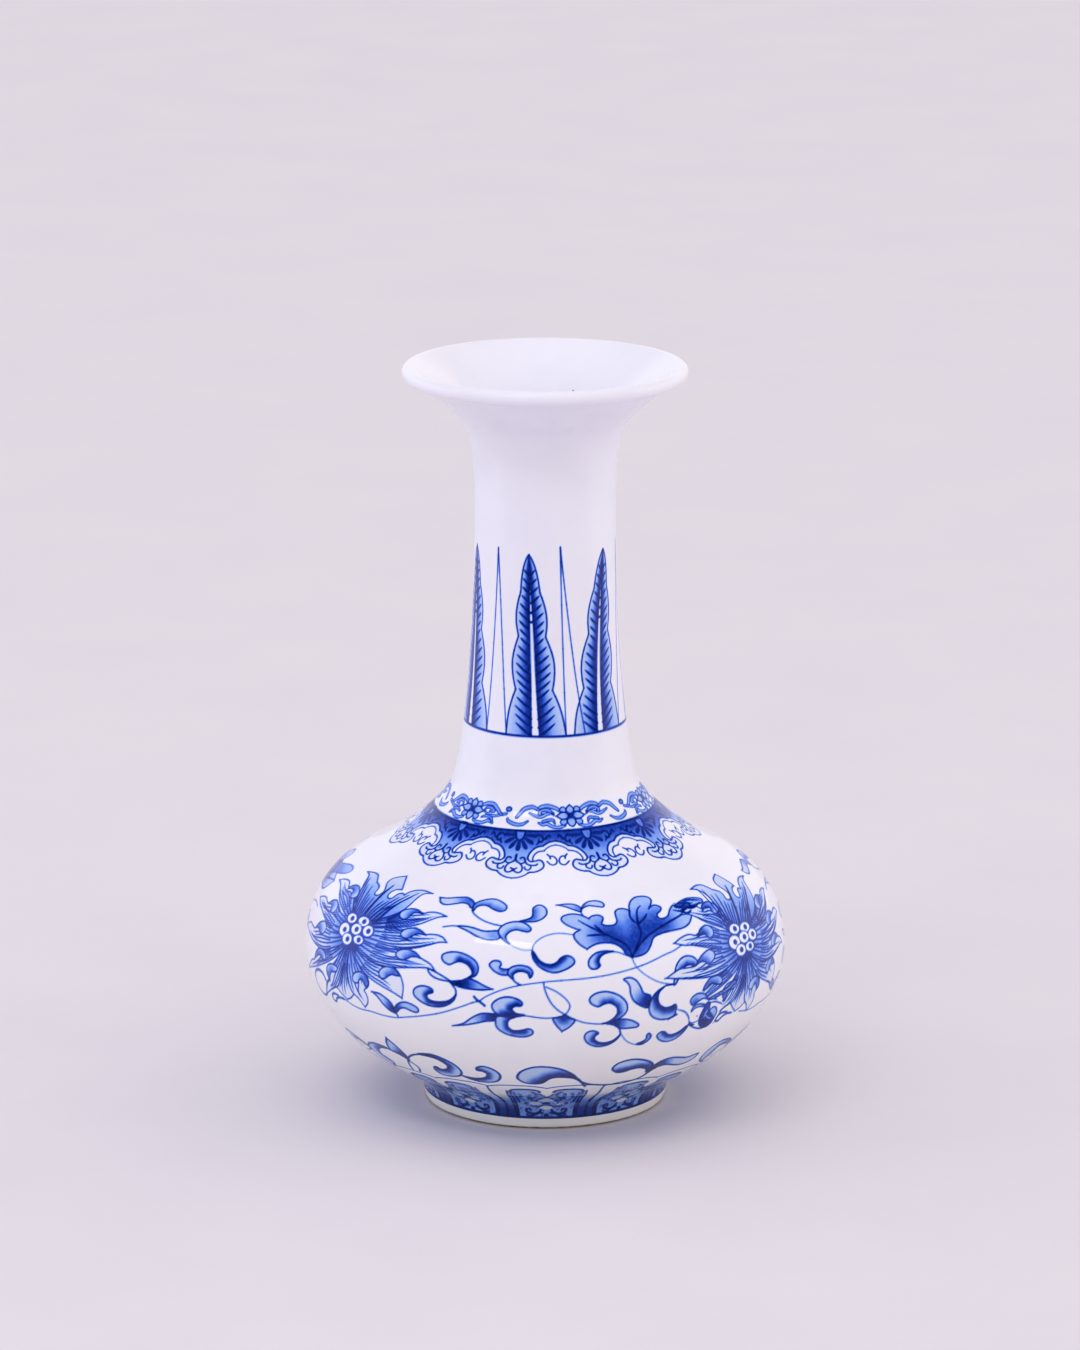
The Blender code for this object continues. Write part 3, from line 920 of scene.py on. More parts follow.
        0.32, [(30, 43.9), (31, 43), (32.6, 42.6), (34.5, 43.4), (35.8, 44.4)], 1.9, 0.95,
    ),
    # a small pair beside the blossom's lower tip
    wash(
        [
            (-44.8, 52.6), (-44.8, 52.6), (-42.5, 52.7), (-40.3, 51.9), (-38.7, 50.8), (-37.9, 49.3),
            (-37.7, 48.2), (-39.5, 48.6), (-41.3, 49.9), (-43.2, 51.8),
        ],
        0.24, (-38.2, 49.3), 4.5, 0.92,
    ),
    wash(
        [
            (-37.9, 48.9), (-37.5, 50.3), (-36, 51.6), (-34, 52), (-31.8, 51.4), (-30.9, 50.5),
            (-31.5, 49.7), (-33, 49.8), (-34.8, 50.3), (-36.3, 49.8), (-37.2, 48.7),
        ],
        0.30, (-37.5, 49.8), 3.5, 0.80,
    ),
    # a small pair over the big leaf
    wash(
        [
            (3.5, 82.6), (3.5, 82.6), (6, 82.9), (8.5, 82.7), (10.2, 81.6), (10.4, 80.6), (10, 80),
            (8, 80.9), (5.5, 82.1),
        ],
        0.28, (10, 81), 3, 0.5,
    ),
    wash(
        [
            (10.4, 80.8), (11.3, 82.3), (13, 83.4), (15.2, 83.6), (17, 82.9), (17.5, 81.8), (16.8, 81.1),
            (15, 81.5), (13, 81.9), (11.5, 81.5),
        ],
        0.22, (11, 81.3), 3, 0.5,
    ),
]  # fmt: skip
VINE_LINES = [
    (
        [
            (-57, 47.6), (-53, 46.6), (-50, 46.3), (-46, 46.6), (-42, 46.5), (-38, 46.8), (-35, 47.6),
            (-30, 49), (-25, 50.7), (-20, 53), (-17, 54.5), (-15.5, 55),
        ],
        0.36,
        0.62,
    ),
    (
        [
            (-15.5, 55), (-13.5, 56.6), (-10, 58.4), (-6, 59.7), (0, 60.7), (5, 61.1), (10, 61.4),
            (15, 61.9), (20, 62.7), (25, 63.8), (30, 65.3), (33, 66), (36, 67.1), (40, 68), (44, 67.8),
        ],
        0.36,
        0.60,
    ),
    ([(-16.7, 56.1), (-16.1, 55.4), (-15.2, 54.8), (-14.1, 53.9)], 0.62, 0.74),
    ([(-15.9, 54.9), (-15.2, 55.1)], 0.5, 0.66),
    ([(-21.6, 81.4), (-20.9, 79.3), (-19.5, 78), (-17, 76.7), (-14, 75.8), (-11.7, 75.5)], 0.42, 0.66),
    ([(-27.6, 73.5), (-25.4, 74.1), (-23.2, 74.3)], 0.40, 0.66),
    ([(-9.3, 70.6), (-7.5, 69.6), (-5.3, 68.9), (-3.4, 69)], 0.30, 0.38),
    ([(-3.2, 68.6), (-2.9, 70.4), (-1.2, 72.2), (1.2, 73.3), (4, 73.6), (7.4, 73.1)], 0.36, 0.52),
    ([(-22.8, 59.4), (-22.2, 58.6), (-21.3, 57.4), (-21.1, 56)], 0.45, 0.76),
    ([(-8, 61.9), (-7.2, 60.7), (-5.8, 59.8)], 0.45, 0.76),
    ([(-6.5, 51.8), (-4.5, 51.7), (-2, 51.3), (0, 51.1), (2, 51.2), (3.4, 51.5)], 0.38, 0.66),
    ([(-0.4, 60.6), (0, 58.4), (1.2, 55.5), (2.8, 53.4), (4.6, 52)], 0.40, 0.68),
    ([(0.2, 59.4), (2.5, 58.2), (4.6, 56.4), (5.7, 54.5), (5.3, 53), (4.6, 52)], 0.38, 0.62),
    ([(4.8, 51.9), (6.3, 50.9), (9, 49.6), (12, 49), (14, 48.9)], 0.38, 0.64),
    ([(14.5, 48.8), (16.5, 48.2), (17.7, 46.9), (18, 45.5), (17.7, 44.3)], 0.42, 0.80),
    ([(17.7, 46.8), (18.5, 44.8), (20, 42.7), (22, 41.3), (23.2, 41.2)], 0.34, 0.60),
    ([(21.5, 66), (21.7, 64.6), (22.7, 62.6), (25, 60.3), (28, 58.4), (31.3, 57.4)], 0.34, 0.56),
    ([(28.2, 56.8), (29.6, 57.4), (31.7, 57.3)], 0.45, 0.78),
    ([(31.6, 50.6), (34, 49.8), (35.8, 48), (36.6, 46), (36.4, 44.4)], 0.40, 0.70),
    ([(-37.9, 49), (-37.6, 48.2), (-37.2, 47.4)], 0.5, 0.80),
    ([(10.3, 81), (10.2, 79.7), (10.6, 78.7)], 0.45, 0.60),
    ([(15.5, 67.9), (18, 67.6), (20, 66.6), (21.5, 66)], 0.38, 0.60),
]  # fmt: skip
BIG_LEAF = wash(
    [
        (21.4, 65.9), (21.4, 65.9), (20, 67), (19.3, 68.5), (17.5, 69.9), (15, 70.4), (12.5, 70.1),
        (10.4, 69), (10.4, 69), (8.8, 70.2), (7.5, 72), (7.5, 73.4), (9, 74.4), (9, 74.4), (7.6, 75),
        (5.5, 76.2), (4.4, 77.6), (5, 78.8), (7.5, 79.4), (10, 78.9), (12, 77.7), (12, 77.7), (13, 78.4),
        (14.8, 78.6), (16, 77.8), (15.7, 76.7), (15.3, 75.8), (16.5, 75.2), (18.5, 75.2), (19.6, 76.1),
        (19.7, 77.6), (20, 79.2), (21.5, 80), (23.3, 79.7), (24.3, 79), (24.3, 79), (24.7, 80.4),
        (26, 82.1), (28, 83.2), (30, 83.3), (32, 82.7), (32.6, 81.4), (31.5, 79.9), (30.3, 78.8),
        (30.3, 78.8), (31.7, 79.5), (33, 79.5), (34.2, 78.5), (33.3, 77.4), (32, 76.7), (31.9, 75.6),
        (33.2, 75.1), (35, 75.7), (36.5, 77.3), (38.3, 78.4), (39.2, 77.9), (41, 76.9), (43.5, 75.8),
        (43.5, 75.8), (41.8, 73.6), (40, 72.1), (37.5, 71.4), (34, 71.3), (30.5, 71), (28.3, 70.2),
        (27, 68.3), (25.5, 66.7), (23.5, 66),
    ],
    0.28, [(17, 72.2), (21.5, 68.5), (26, 73), (31, 73.5)], 8.5, 0.76,
)  # fmt: skip
BIG_LEAF_VEINS = [
    [(21.5, 66), (21.2, 68), (20, 69.8), (17.5, 71.6), (14.5, 73.5), (11, 75.8), (9, 77.3)],
    [(16.5, 72.4), (13.5, 72.7), (10.8, 72.7)],
    [(15.3, 73), (14, 74.6), (13.2, 75.6)],
    [(21.7, 66.3), (23.8, 69.3), (25.3, 72), (25.3, 74.5), (25.8, 77), (26.7, 79), (28.2, 80.1)],
    [(25.5, 74.7), (27.5, 76), (29, 77.3)],
    [(24.3, 79), (23.8, 77.3), (24.2, 75.8), (25.3, 74.8)],
    [(21.6, 66.2), (24.5, 69.3), (28, 71.6), (33, 73.4), (38, 74.8), (42.5, 75.9)],
]


# --------------------------------------------------------------------------------------- the lotus blossoms
# Petals from the back of the blossom to its front, as (upper edge, lower edge, veins, curled lip). Each edge
# goes from the tip to the root at the seeds.
LOTUS = (-54.7, 66.3)
LOTUS_PETALS = [
    (
        [
            (-66.5, 45.6), (-65.2, 47.6), (-63.8, 49.8), (-62.4, 51.2), (-62.2, 54.0), (-60.5, 56.0),
            (-58.6, 58.5), (-57.2, 61),
        ],
        [(-66.5, 45.6), (-63.5, 47.6), (-60.8, 49.2), (-58.4, 50.6), (-57, 53), (-56, 56), (-55.6, 61)],
        6,
        [
            (-62.2, 50.9), (-63.5, 52.3), (-63.8, 54), (-62.5, 55.4), (-60.5, 55.9), (-58.7, 55.7),
            (-58.5, 54.8), (-59.8, 54), (-61.2, 53.7), (-61.8, 52.7), (-62, 51.6),
        ],
    ),
    (
        [(-55, 47.7), (-53.2, 48.6), (-51.5, 50.2), (-51.5, 50.2), (-53, 52), (-53.9, 56), (-54.2, 61)],
        [(-55, 47.7), (-57, 48.8), (-58.8, 50), (-58.8, 50), (-57.3, 51.9), (-56.2, 56), (-55.6, 61)],
        6,
        None,
    ),
    (
        [
            (-48, 47.4), (-46.8, 48.7), (-46.4, 50.2), (-46.9, 51.6), (-47.5, 52.4), (-46.2, 53.6),
            (-45.9, 55), (-47.5, 57.4), (-50.5, 59.8), (-52.8, 61.6),
        ],
        [(-48, 47.4), (-49.8, 49.3), (-51.7, 50.4), (-52.9, 52), (-53.9, 55.5), (-54.4, 61)],
        6,
        [
            (-46, 55), (-47.2, 56.5), (-49.3, 56.9), (-51.3, 56), (-52, 54.6), (-51.3, 53.6), (-49.8, 53.8),
            (-49.2, 54.9), (-48.2, 55), (-47, 53.4), (-46.2, 54),
        ],
    ),
    (
        [
            (-81, 48.4), (-77.5, 50.6), (-74.5, 52.9), (-72, 54), (-70.3, 56.8), (-66.5, 58), (-62.5, 59.8),
            (-58.5, 62),
        ],
        [(-81, 48.4), (-76.5, 50.2), (-71, 52.2), (-66, 54.4), (-62, 56.6), (-59, 58.9), (-57, 61.4)],
        6,
        [
            (-72, 54), (-71.3, 56), (-69.5, 57.6), (-67.2, 58), (-65.3, 57.4), (-64.7, 56.2), (-65.7, 55.6),
            (-67.3, 55.8), (-68.8, 56.1), (-70.3, 55.2),
        ],
    ),
    (
        [
            (-35.5, 52.9), (-35.2, 55), (-35.4, 57), (-36.5, 59), (-38.5, 60.4), (-42.5, 60.6), (-47, 61),
            (-51, 62.5),
        ],
        [(-35.5, 52.9), (-38, 53.9), (-42, 55), (-46, 56.3), (-49, 58), (-52, 60.6)],
        6,
        [
            (-36.4, 58.7), (-37.9, 60.1), (-39.8, 60.5), (-41.8, 59.8), (-42.9, 58.4), (-42.3, 57.1),
            (-41, 57), (-39.9, 57.9), (-38.7, 58.6), (-37.5, 58.5),
        ],
    ),
    (
        [
            (-85, 59.6), (-81, 61.3), (-78, 61.3), (-75.2, 61.5), (-73, 63.8), (-69.5, 64.9), (-65.5, 64.6),
            (-60.5, 65),
        ],
        [(-85, 59.6), (-80, 58.8), (-75, 58.2), (-70, 57.9), (-66, 58.4), (-62, 60), (-58, 62.4)],
        8,
        [
            (-75.2, 61.5), (-74, 63), (-72, 64.3), (-70, 64.9), (-68.2, 64), (-68.2, 62.6), (-69.5, 61.5),
            (-71, 61.4), (-71.8, 62), (-73.3, 62.2),
        ],
    ),
    (
        [
            (-27, 61.6), (-28.3, 63), (-30, 63.8), (-31.8, 64.4), (-35, 65.8), (-38.5, 65.1), (-43, 65),
            (-51, 65.6),
        ],
        [(-27, 61.6), (-29.5, 62), (-33, 61.5), (-38, 60.6), (-43, 60.3), (-47, 60.9), (-52, 62.6)],
        7,
        [
            (-31.5, 64.3), (-33, 65.4), (-35.3, 65.9), (-37.6, 65.4), (-38.7, 64.3), (-38.2, 63.3),
            (-36.6, 62.9), (-35.3, 63.4), (-34.2, 64.1), (-32.8, 64.4),
        ],
    ),
    (
        [
            (-82.5, 68.2), (-80, 69.3), (-77, 69.8), (-74, 69.2), (-71.8, 70.8), (-68.5, 71), (-64.5, 69.4),
            (-60.5, 68.4),
        ],
        [(-82.5, 68.2), (-79, 67.2), (-76, 66.8), (-72, 65.8), (-68, 65), (-64, 64.4), (-60.5, 65)],
        8,
        [
            (-73.6, 69.1), (-72.3, 70.4), (-70.3, 71.3), (-68.5, 71), (-67.3, 69.8), (-67.5, 68.5),
            (-68.8, 67.8), (-70, 68.2), (-70.6, 69.2), (-71.3, 69.6), (-72.7, 69.3),
        ],
    ),
    (
        [
            (-25.4, 69.4), (-26.6, 70.5), (-28.3, 71), (-30.5, 70.9), (-32, 70.6), (-35.3, 71.8),
            (-38.5, 70.8), (-43, 70.2), (-50, 68.8),
        ],
        [(-25.4, 69.4), (-27.5, 69.1), (-30, 68), (-33, 66.8), (-37, 65.8), (-42, 65), (-51, 65.4)],
        8,
        [
            (-31.7, 70.5), (-33.3, 71.4), (-35.5, 71.8), (-38, 71.1), (-39.1, 69.9), (-38.6, 68.9),
            (-37, 68.6), (-35.8, 69.2), (-34.8, 70.1), (-33.3, 70.5),
        ],
    ),
    (
        [
            (-78, 75.6), (-75.5, 76.8), (-72.5, 77.4), (-70.5, 76.9), (-69, 76.1), (-66.3, 77.6),
            (-62.8, 76.2), (-60.8, 73), (-58.5, 71),
        ],
        [(-78, 75.6), (-75, 75.2), (-72.5, 74), (-70.5, 72.8), (-68, 71.6), (-64, 70.2), (-59.5, 69)],
        8,
        [
            (-69, 75.4), (-68.5, 76.8), (-66.5, 77.7), (-64.3, 77.6), (-62.5, 76.4), (-62, 75.2),
            (-63, 74.2), (-64.5, 74.1), (-65.2, 75), (-65.4, 76), (-66.5, 76.3), (-67.9, 76),
        ],
    ),
    (
        [
            (-27.8, 76.6), (-29.5, 77.1), (-31.5, 77.3), (-33.5, 77), (-35.2, 76.4), (-39, 77),
            (-42.2, 75.2), (-45, 72.9), (-50, 71),
        ],
        [(-27.8, 76.6), (-30, 76), (-32, 74.8), (-34.5, 73.2), (-37.5, 71.9), (-41, 70.9), (-50, 69)],
        9,
        [
            (-35.3, 76.2), (-36.8, 76.9), (-38.8, 77.1), (-41, 76.4), (-42.2, 75.2), (-41.9, 74),
            (-40.5, 73.5), (-39.3, 73.9), (-38.7, 75), (-38, 75.9), (-36.8, 76.2),
        ],
    ),
]  # fmt: skip
CROWN = [
    (-58.3, 71.3), (-61, 74.5), (-62.5, 77), (-63.3, 79), (-64.5, 80.6), (-66.5, 82), (-68.8, 82.5),
    (-68.8, 82.5), (-66.5, 83.2), (-64.5, 83.5), (-62.5, 83.3), (-60.8, 82.3), (-59.5, 81.3), (-59.5, 81.3),
    (-58, 80.9), (-56.7, 80.3), (-56.1, 79.2), (-56.2, 78.3), (-55.4, 77.7), (-54.2, 77.9), (-53.6, 78.7),
    (-53.4, 79.8), (-54.2, 81), (-55.4, 82.4), (-55.6, 83.8), (-54.7, 85), (-53, 86), (-51.4, 86.7),
    (-51.4, 86.7), (-50.3, 85.6), (-49, 84), (-47.9, 82.6), (-47.5, 81.8), (-47.5, 81.8), (-48.8, 81.6),
    (-50, 80.8), (-50.6, 79.6), (-50.4, 78.6), (-49.5, 78.1), (-48.5, 78.3), (-48, 79.2), (-47.5, 80.2),
    (-46.3, 80.8), (-45, 80.5), (-45, 80.5), (-44.5, 81.5), (-43, 82.7), (-41, 83.4), (-39, 83.5),
    (-36.3, 83.1), (-36.3, 83.1), (-38.3, 82.7), (-39.5, 81.6), (-40.2, 79.8), (-40.8, 77.8), (-42, 75.8),
    (-43.8, 74.2), (-46, 72.8), (-50, 70.8), (-54, 70),
]  # fmt: skip
CROWN_VEINS = [
    (-66.2, 82.2), (-64.2, 81.6), (-61.8, 79.6), (-59.6, 79.8), (-57.8, 77.2), (-56.6, 76.6), (-54.9, 76.8),
    (-53.4, 75.6), (-52.0, 82.3), (-50.5, 76.9), (-48.7, 77.3), (-47.4, 76), (-46.2, 79.2), (-45.4, 77),
    (-43.5, 80.8), (-41.9, 80.6), (-40.8, 82.2),
]  # fmt: skip
HANGING_SPIRAL = [
    (-62.5, 51.2), (-64.2, 49.6), (-65.2, 47.5), (-66.5, 45.6), (-69, 44.8), (-71.4, 45.8), (-72.6, 48.2),
    (-71.6, 50.6), (-69, 51.9), (-66.2, 51.7), (-64.6, 50.2),
]  # fmt: skip
HANGING_CURL = [
    (-56.5, 47.3), (-58.5, 47.2), (-60.2, 46.4), (-61.3, 45.1), (-62.6, 45.4), (-62.4, 46.8), (-61, 47.6),
    (-59, 47.6),
]  # fmt: skip
SEEDS = [
    (-58.1, 69.4, 1.95, 1.35), (-53.0, 69.8, 2.1, 1.3), (-50.0, 67.8, 1.8, 1.5), (-59.2, 65.9, 2.1, 1.8),
    (-56.7, 63.9, 1.9, 1.5), (-52.3, 64.8, 1.8, 1.2), (-54.5, 67.2, 1.95, 1.5),
]  # fmt: skip


EDGE_SPOTS = 16  # even steps along a petal's edge, from which its veins are taken
SLIP_LEAN, SLIP_SQUEEZE, SLIP_LIFT, SLIP_SAG, SLIP_REACH = 0.22, 0.15, 0.5, 2.6, 12.0


def evenly(edge):
    path, share = sampled(edge)
    spots = np.linspace(0, 1, EDGE_SPOTS)
    return np.stack([np.interp(spots, share, path[:, 0]), np.interp(spots, share, path[:, 1])], axis=1)


def laid(points, turn, run, slip):
    """Places of the first blossom moved by (turn, run). A slipped transfer leans and is squeezed."""
    out = []
    for x, y in points:
        dx, dy = x - LOTUS[0], y - LOTUS[1]
        lean, lift = SLIP_LEAN * dy - SLIP_SQUEEZE * dx, SLIP_LIFT - SLIP_SAG * math.tanh(dx / SLIP_REACH)
        out.append((x + turn + slip * lean, y + run + slip * lift))
    return out


def petal_veins(over, under, veins, draws):
    """Fine lines along a petal, from near its tip to its root."""
    upper, lower = evenly(over), evenly(under)
    for k in range(veins - 1):
        share = (k + 0.6 + 0.3 * draws.random()) / (veins - 0.5)
        start = 2 + int(draws.integers(0, 5)) + (3 if k in (0, 1) else 0)
        stop = 15 if k % 2 else 12
        spots = [start, (2 * start + stop) // 3, (start + 2 * stop) // 3, stop]
        way = (upper * (1 - share) + lower * share)[spots]
        line(way.tolist(), 0.36, 0.82, taper=(0.3, 0.8))


def crown_veins(core, ends):
    """Lines that fan out from above the seeds into the crown's lobes; the middle one is the thickest."""
    for k, end in enumerate(ends):
        foot = (core[0] - 4.8 + 0.68 * k, core[1] + 4.2)
        middle = (0.55 * foot[0] + 0.45 * end[0], 0.45 * foot[1] + 0.55 * end[1])
        line([foot, middle, end], 0.75 if k == len(ends) // 2 else 0.38, 0.84, taper=(0.8, 0.5))


def lotus(turn, run, slip, draws):
    """One blossom, moved from where it is seen at the front left by (turn, run)."""

    def move(points):
        return laid(points, turn, run, slip)

    core = (LOTUS[0] + turn, LOTUS[1] + run)
    for way, width in ((HANGING_SPIRAL, 0.9), (HANGING_CURL, 0.8)):
        line(move(way), width, 0.42)
        line(move(way), 0.4, 0.72)
    fill(oval(core[0] - 0.3, core[1] - 1.2, 5.0, 4.6), 0.84, line_width=0)
    for upper, lower, veins, lip in LOTUS_PETALS:
        over, under = move(upper), move(lower)
        side = (over[0][0] - core[0] + 8.0) / 36.0
        deep = 0.72 - 0.20 * min(max(side, 0.0), 1.0)
        fill(over[:1] + over + under[:0:-1], 0.08, focus=(core, 18.0, deep), edge=0.78)
        petal_veins(over, under, veins, draws)
        if lip:
            curl = move(lip)
            fill(curl[:1] + curl, 0.24, focus=(curl[:2] + curl[-3:-1][::-1], 2.6, 0.62), edge=0.78)
    above = [(core[0] - 5, core[1] + 4), (core[0] + 6, core[1] + 4)]
    fill(move(CROWN), 0.16, focus=(above, 16.0, 0.52), edge=0.78)
    crown_veins(core, move(CROWN_VEINS))
    seeds = [(*move([(x, y)])[0], across, up) for x, y, across, up in SEEDS]
    for x, y, across, up in seeds:
        fill(oval(x, y, across + 0.6, up + 0.5), 0.76, line_width=0)
    for x, y, across, up in seeds:
        fill(oval(x, y, across + 0.15, up + 0.12), 0.0, edge=0.70, line_width=0.3)
        fill(oval(x + 0.2, y, 0.62, 0.52), 0.86, edge=0.66, line_width=0.4)


# Where one print's edge lies over the next, the transfers have slipped and smudged: a dark tangle under the
# blossom, crossed strokes at the big leaf's tip and a stray lobe at the far left. Outlines are (points, tone,
# tone at the place, place, reach), and strokes are (points, width, tone).
TANGLE_GAP = [
    (32.7, 48.9), (32.7, 51.1), (36.4, 53.4), (39.6, 54.0), (42.0, 51.4), (46.8, 49.2), (45.8, 46.2),
    (44.8, 43.2), (41.0, 43.0), (37.2, 44.4), (36.2, 46.2),
]  # fmt: skip
TANGLE_LEAVES = [
    (
        [
            (41.6, 51.4), (44.0, 52.1), (47.5, 53.0), (50.5, 54.4), (51.4, 53.6), (48.0, 52.2),
            (45.0, 51.4), (43.0, 51.0),
        ],
        0.26,
        0.6,
        (51.0, 54.0),
        5.0,
    ),
    (
        [
            (36.9, 50.6), (36.1, 51.8), (36.6, 52.9), (38.2, 53.6), (40.1, 53.2), (41.2, 52.0),
            (42.0, 51.0), (40.2, 51.9), (38.6, 51.4),
        ],
        0.30,
        0.72,
        (37.6, 51.0),
        2.4,
    ),
    (
        [(36.7, 48.8), (36.9, 49.9), (38.5, 50.6), (40.4, 50.2), (41.0, 49.4), (39.0, 49.8), (37.6, 49.6)],
        0.22,
        0.6,
        (40.6, 50.0),
        2.0,
    ),
    (
        [(42.4, 47.6), (43.4, 48.6), (44.5, 48.3), (45.1, 47.0), (44.9, 45.4), (44.2, 44.2), (43.2, 46.0)],
        0.30,
        0.62,
        (43.6, 44.6),
        3.0,
    ),
    (
        [
            (41.2, 50.4), (40.3, 48.6), (39.6, 46.6), (39.8, 44.6), (41.0, 43.1), (42.8, 42.8),
            (44.2, 43.6), (44.4, 45.0), (43.4, 46.4), (42.5, 47.6), (42.3, 48.8), (42.3, 50.2),
        ],
        0.74,
        0.97,
        (41.4, 44.8),
        4.0,
    ),
]  # fmt: skip
SLIP_LEAF = [(38.5, 77.8), (41, 78.9), (44, 79.4), (47, 79), (49.2, 78), (48.5, 77), (45, 76.9), (41, 76.9)]
SLIPS = [
    ([(37.5, 76.9), (39.6, 76.2), (42, 76.6), (44.5, 76.3), (47.6, 77.2)], 0.65, 0.92),
    ([(38.6, 77.9), (40.6, 77.4), (42.6, 78.1), (45.2, 77.6)], 0.45, 0.84),
    ([(38.8, 78.8), (41.2, 78.4), (43.6, 78.9), (46.6, 78.3), (48.8, 77.6)], 0.5, 0.80),
    ([(39.6, 76.0), (41.6, 75.2), (43.4, 75.8)], 0.6, 0.86),
    ([(43, 76.4), (43.9, 77.2), (43.3, 78.4)], 0.5, 0.90),
    ([(32.3, 50.4), (34.6, 49.3), (36.0, 47.5), (36.6, 45.5)], 0.42, 0.72),
    ([(42.4, 51.3), (45.5, 52.0), (49.5, 53.5)], 0.3, 0.66),
    ([(42.0, 50.2), (43.6, 50.1), (45.3, 49.5), (47.0, 48.4)], 0.4, 0.75),
    ([(45.0, 43.2), (46.0, 45.4), (47.0, 47.0), (48.2, 48.2)], 0.4, 0.72),
    ([(36.7, 45.5), (38.2, 45.2), (39.8, 45.7)], 0.35, 0.66),
    ([(36.8, 44.7), (38.3, 43.7), (39.7, 43.0), (41.2, 42.6), (43.6, 42.8)], 0.45, 0.82),
    ([(36.5, 45.9), (37.2, 44.8), (38.4, 44.4)], 0.7, 0.85),
    ([(38.4, 47.3), (39.0, 46.9)], 0.35, 0.60),
    ([(41.4, 46.8), (42.6, 45.6), (43.6, 45.2)], 0.3, 0.10),
    ([(41.8, 48.2), (41.2, 46.8), (41.2, 45.6)], 0.3, 0.10),
]  # fmt: skip
SLIP_LOBE = [
    (-76.8, 79.7), (-78.6, 80.5), (-82.0, 80.3), (-86.0, 79.0), (-90.0, 77.8), (-95.0, 76.6), (-99.0, 75.4),
    (-97.0, 72.6), (-92.0, 73.6), (-87.0, 75.2), (-82.0, 76.6), (-78.0, 78.2),
]  # fmt: skip


def slipped_print():
    """The smudges. A stroke that is paler than what lies under it is wiped out of it."""
    fill(SLIP_LOBE, 0.34, toward=((-82, 80), (-84, 75), 0.66), edge=0.7)
    fill(TANGLE_GAP, 0.0, line_width=0)
    for outline, tone, near, place, reach in TANGLE_LEAVES:
        fill(outline, tone, focus=(place, reach, near), edge=0.82)
    fill(SLIP_LEAF, 0.30, focus=([(38.5, 77.5), (43, 76.9)], 2.2, 0.8), edge=0.82)
    for way, width, tone in SLIPS:
        line(way, width, tone, (0.5, 0.4), "darken" if tone > 0.2 else "over")


# -------------------------------------------------------------------------- the broad scroll above the foot
LOWER_LEAVES = [
    wash(
        [
            (-56, 32), (-52.5, 33.7), (-49, 34.1), (-46.3, 33.6), (-49.5, 32.9), (-52, 31.2), (-52.6, 29),
            (-51, 27.6), (-50, 26.2), (-51, 24.6), (-53, 23.8), (-55.5, 25.2), (-57, 27.6), (-57.4, 30),
        ],
        0.25, [(-47, 33.6), (-50.5, 32.6), (-52.3, 30.8), (-52.5, 29), (-51, 27.4)], 2.6, 0.8,
    ),
    wash(
        [
            (-45.4, 33.5), (-45.2, 36), (-44, 38.3), (-44, 38.3), (-41.8, 36), (-40.2, 33), (-40, 31),
            (-40, 31), (-41.7, 32.2), (-43.5, 32.9),
        ],
        0.28, (-41, 32.3), 4.5, 0.95,
    ),
    wash(
        [
            (-35, 34.8), (-31, 35.7), (-28, 35), (-25, 33), (-23.7, 30.5), (-23.9, 28.5), (-25.3, 26.9),
            (-28.5, 26), (-31, 26.3), (-32.3, 28), (-32, 29.7), (-31.1, 30.2), (-30.2, 29.4), (-28.8, 29.4),
            (-27.4, 30.4), (-27.2, 32), (-28.7, 33.6), (-31, 34.5),
        ],
        0.22, [(-34.6, 34.9), (-30.6, 34.4), (-28.4, 33.2), (-27.3, 31.5), (-28.4, 29.6), (-30.6, 29.6)],
        3.2, 1.0,
    ),
    wash(
        [
            (-24, 27.4), (-21, 26.9), (-18.5, 27.2), (-16.6, 28.2), (-16, 29.8), (-17, 31), (-18.6, 31.3),
            (-18.3, 32.6), (-16.5, 33.4), (-14.3, 32.6), (-12.6, 30.6), (-12.6, 28.3), (-14, 26.2),
            (-16.5, 25.2), (-19.5, 25.1), (-22, 26),
        ],
        0.28, [(-24, 27), (-21, 26.6), (-18.4, 27), (-16.6, 28.2), (-16.2, 29.8), (-17.6, 31)], 2.4, 1.0,
    ),
    wash(
        [
            (-7.7, 29.3), (-6.5, 32), (-3.5, 34), (0, 34.4), (4, 33.3), (7.2, 30.9), (9, 28.3),
            (10.3, 26.3), (10.3, 26.3), (8.2, 28.4), (5.6, 29.2), (3, 29.3), (1.2, 28.6), (0, 27.2),
            (-1, 26.1), (-3, 25.6), (-5.6, 26.1), (-7.2, 27.6),
        ],
        0.24, [(9.6, 27.4), (7, 29.2), (4, 29.6), (1.6, 28.8), (0, 27.3), (-1.6, 26)], 4.6, 1.0,
    ),
    wash(
        [
            (18.2, 31.9), (19, 34), (21.5, 35.2), (24.5, 35.1), (28, 33.6), (30.2, 31.5), (30.4, 29),
            (29.6, 28), (28.8, 29.8), (26.5, 30.9), (24, 30.7), (22, 29.9), (20, 30),
        ],
        0.24, [(29.8, 29), (28.2, 30.6), (25.6, 31), (22.8, 30.4), (20.4, 30)], 3.2, 1.0,
    ),
    wash(
        [
            (30.8, 30.8), (33, 32.7), (36, 33), (39.5, 32), (42, 31.3), (45.8, 31.7), (45.6, 29.6),
            (44, 28.4), (41.5, 28.1), (38.5, 28.9), (35.5, 30), (33, 29.9), (31.6, 29),
        ],
        0.22, (32, 30.7), 6.0, 0.95,
    ),
    wash(
        [
            (53.4, 25), (53.4, 25), (50.5, 27), (49.7, 30), (51, 32.5), (54, 33.9), (58, 33.3),
            (61.5, 31.4), (63.5, 29.6), (61, 30.4), (58, 31.4), (55.3, 31.2), (54.5, 28.5),
        ],
        0.25, [(62, 30.2), (58, 31.4), (55.3, 31), (54.5, 28.5), (53.8, 26)], 2.6, 0.85,
    ),
]  # fmt: skip
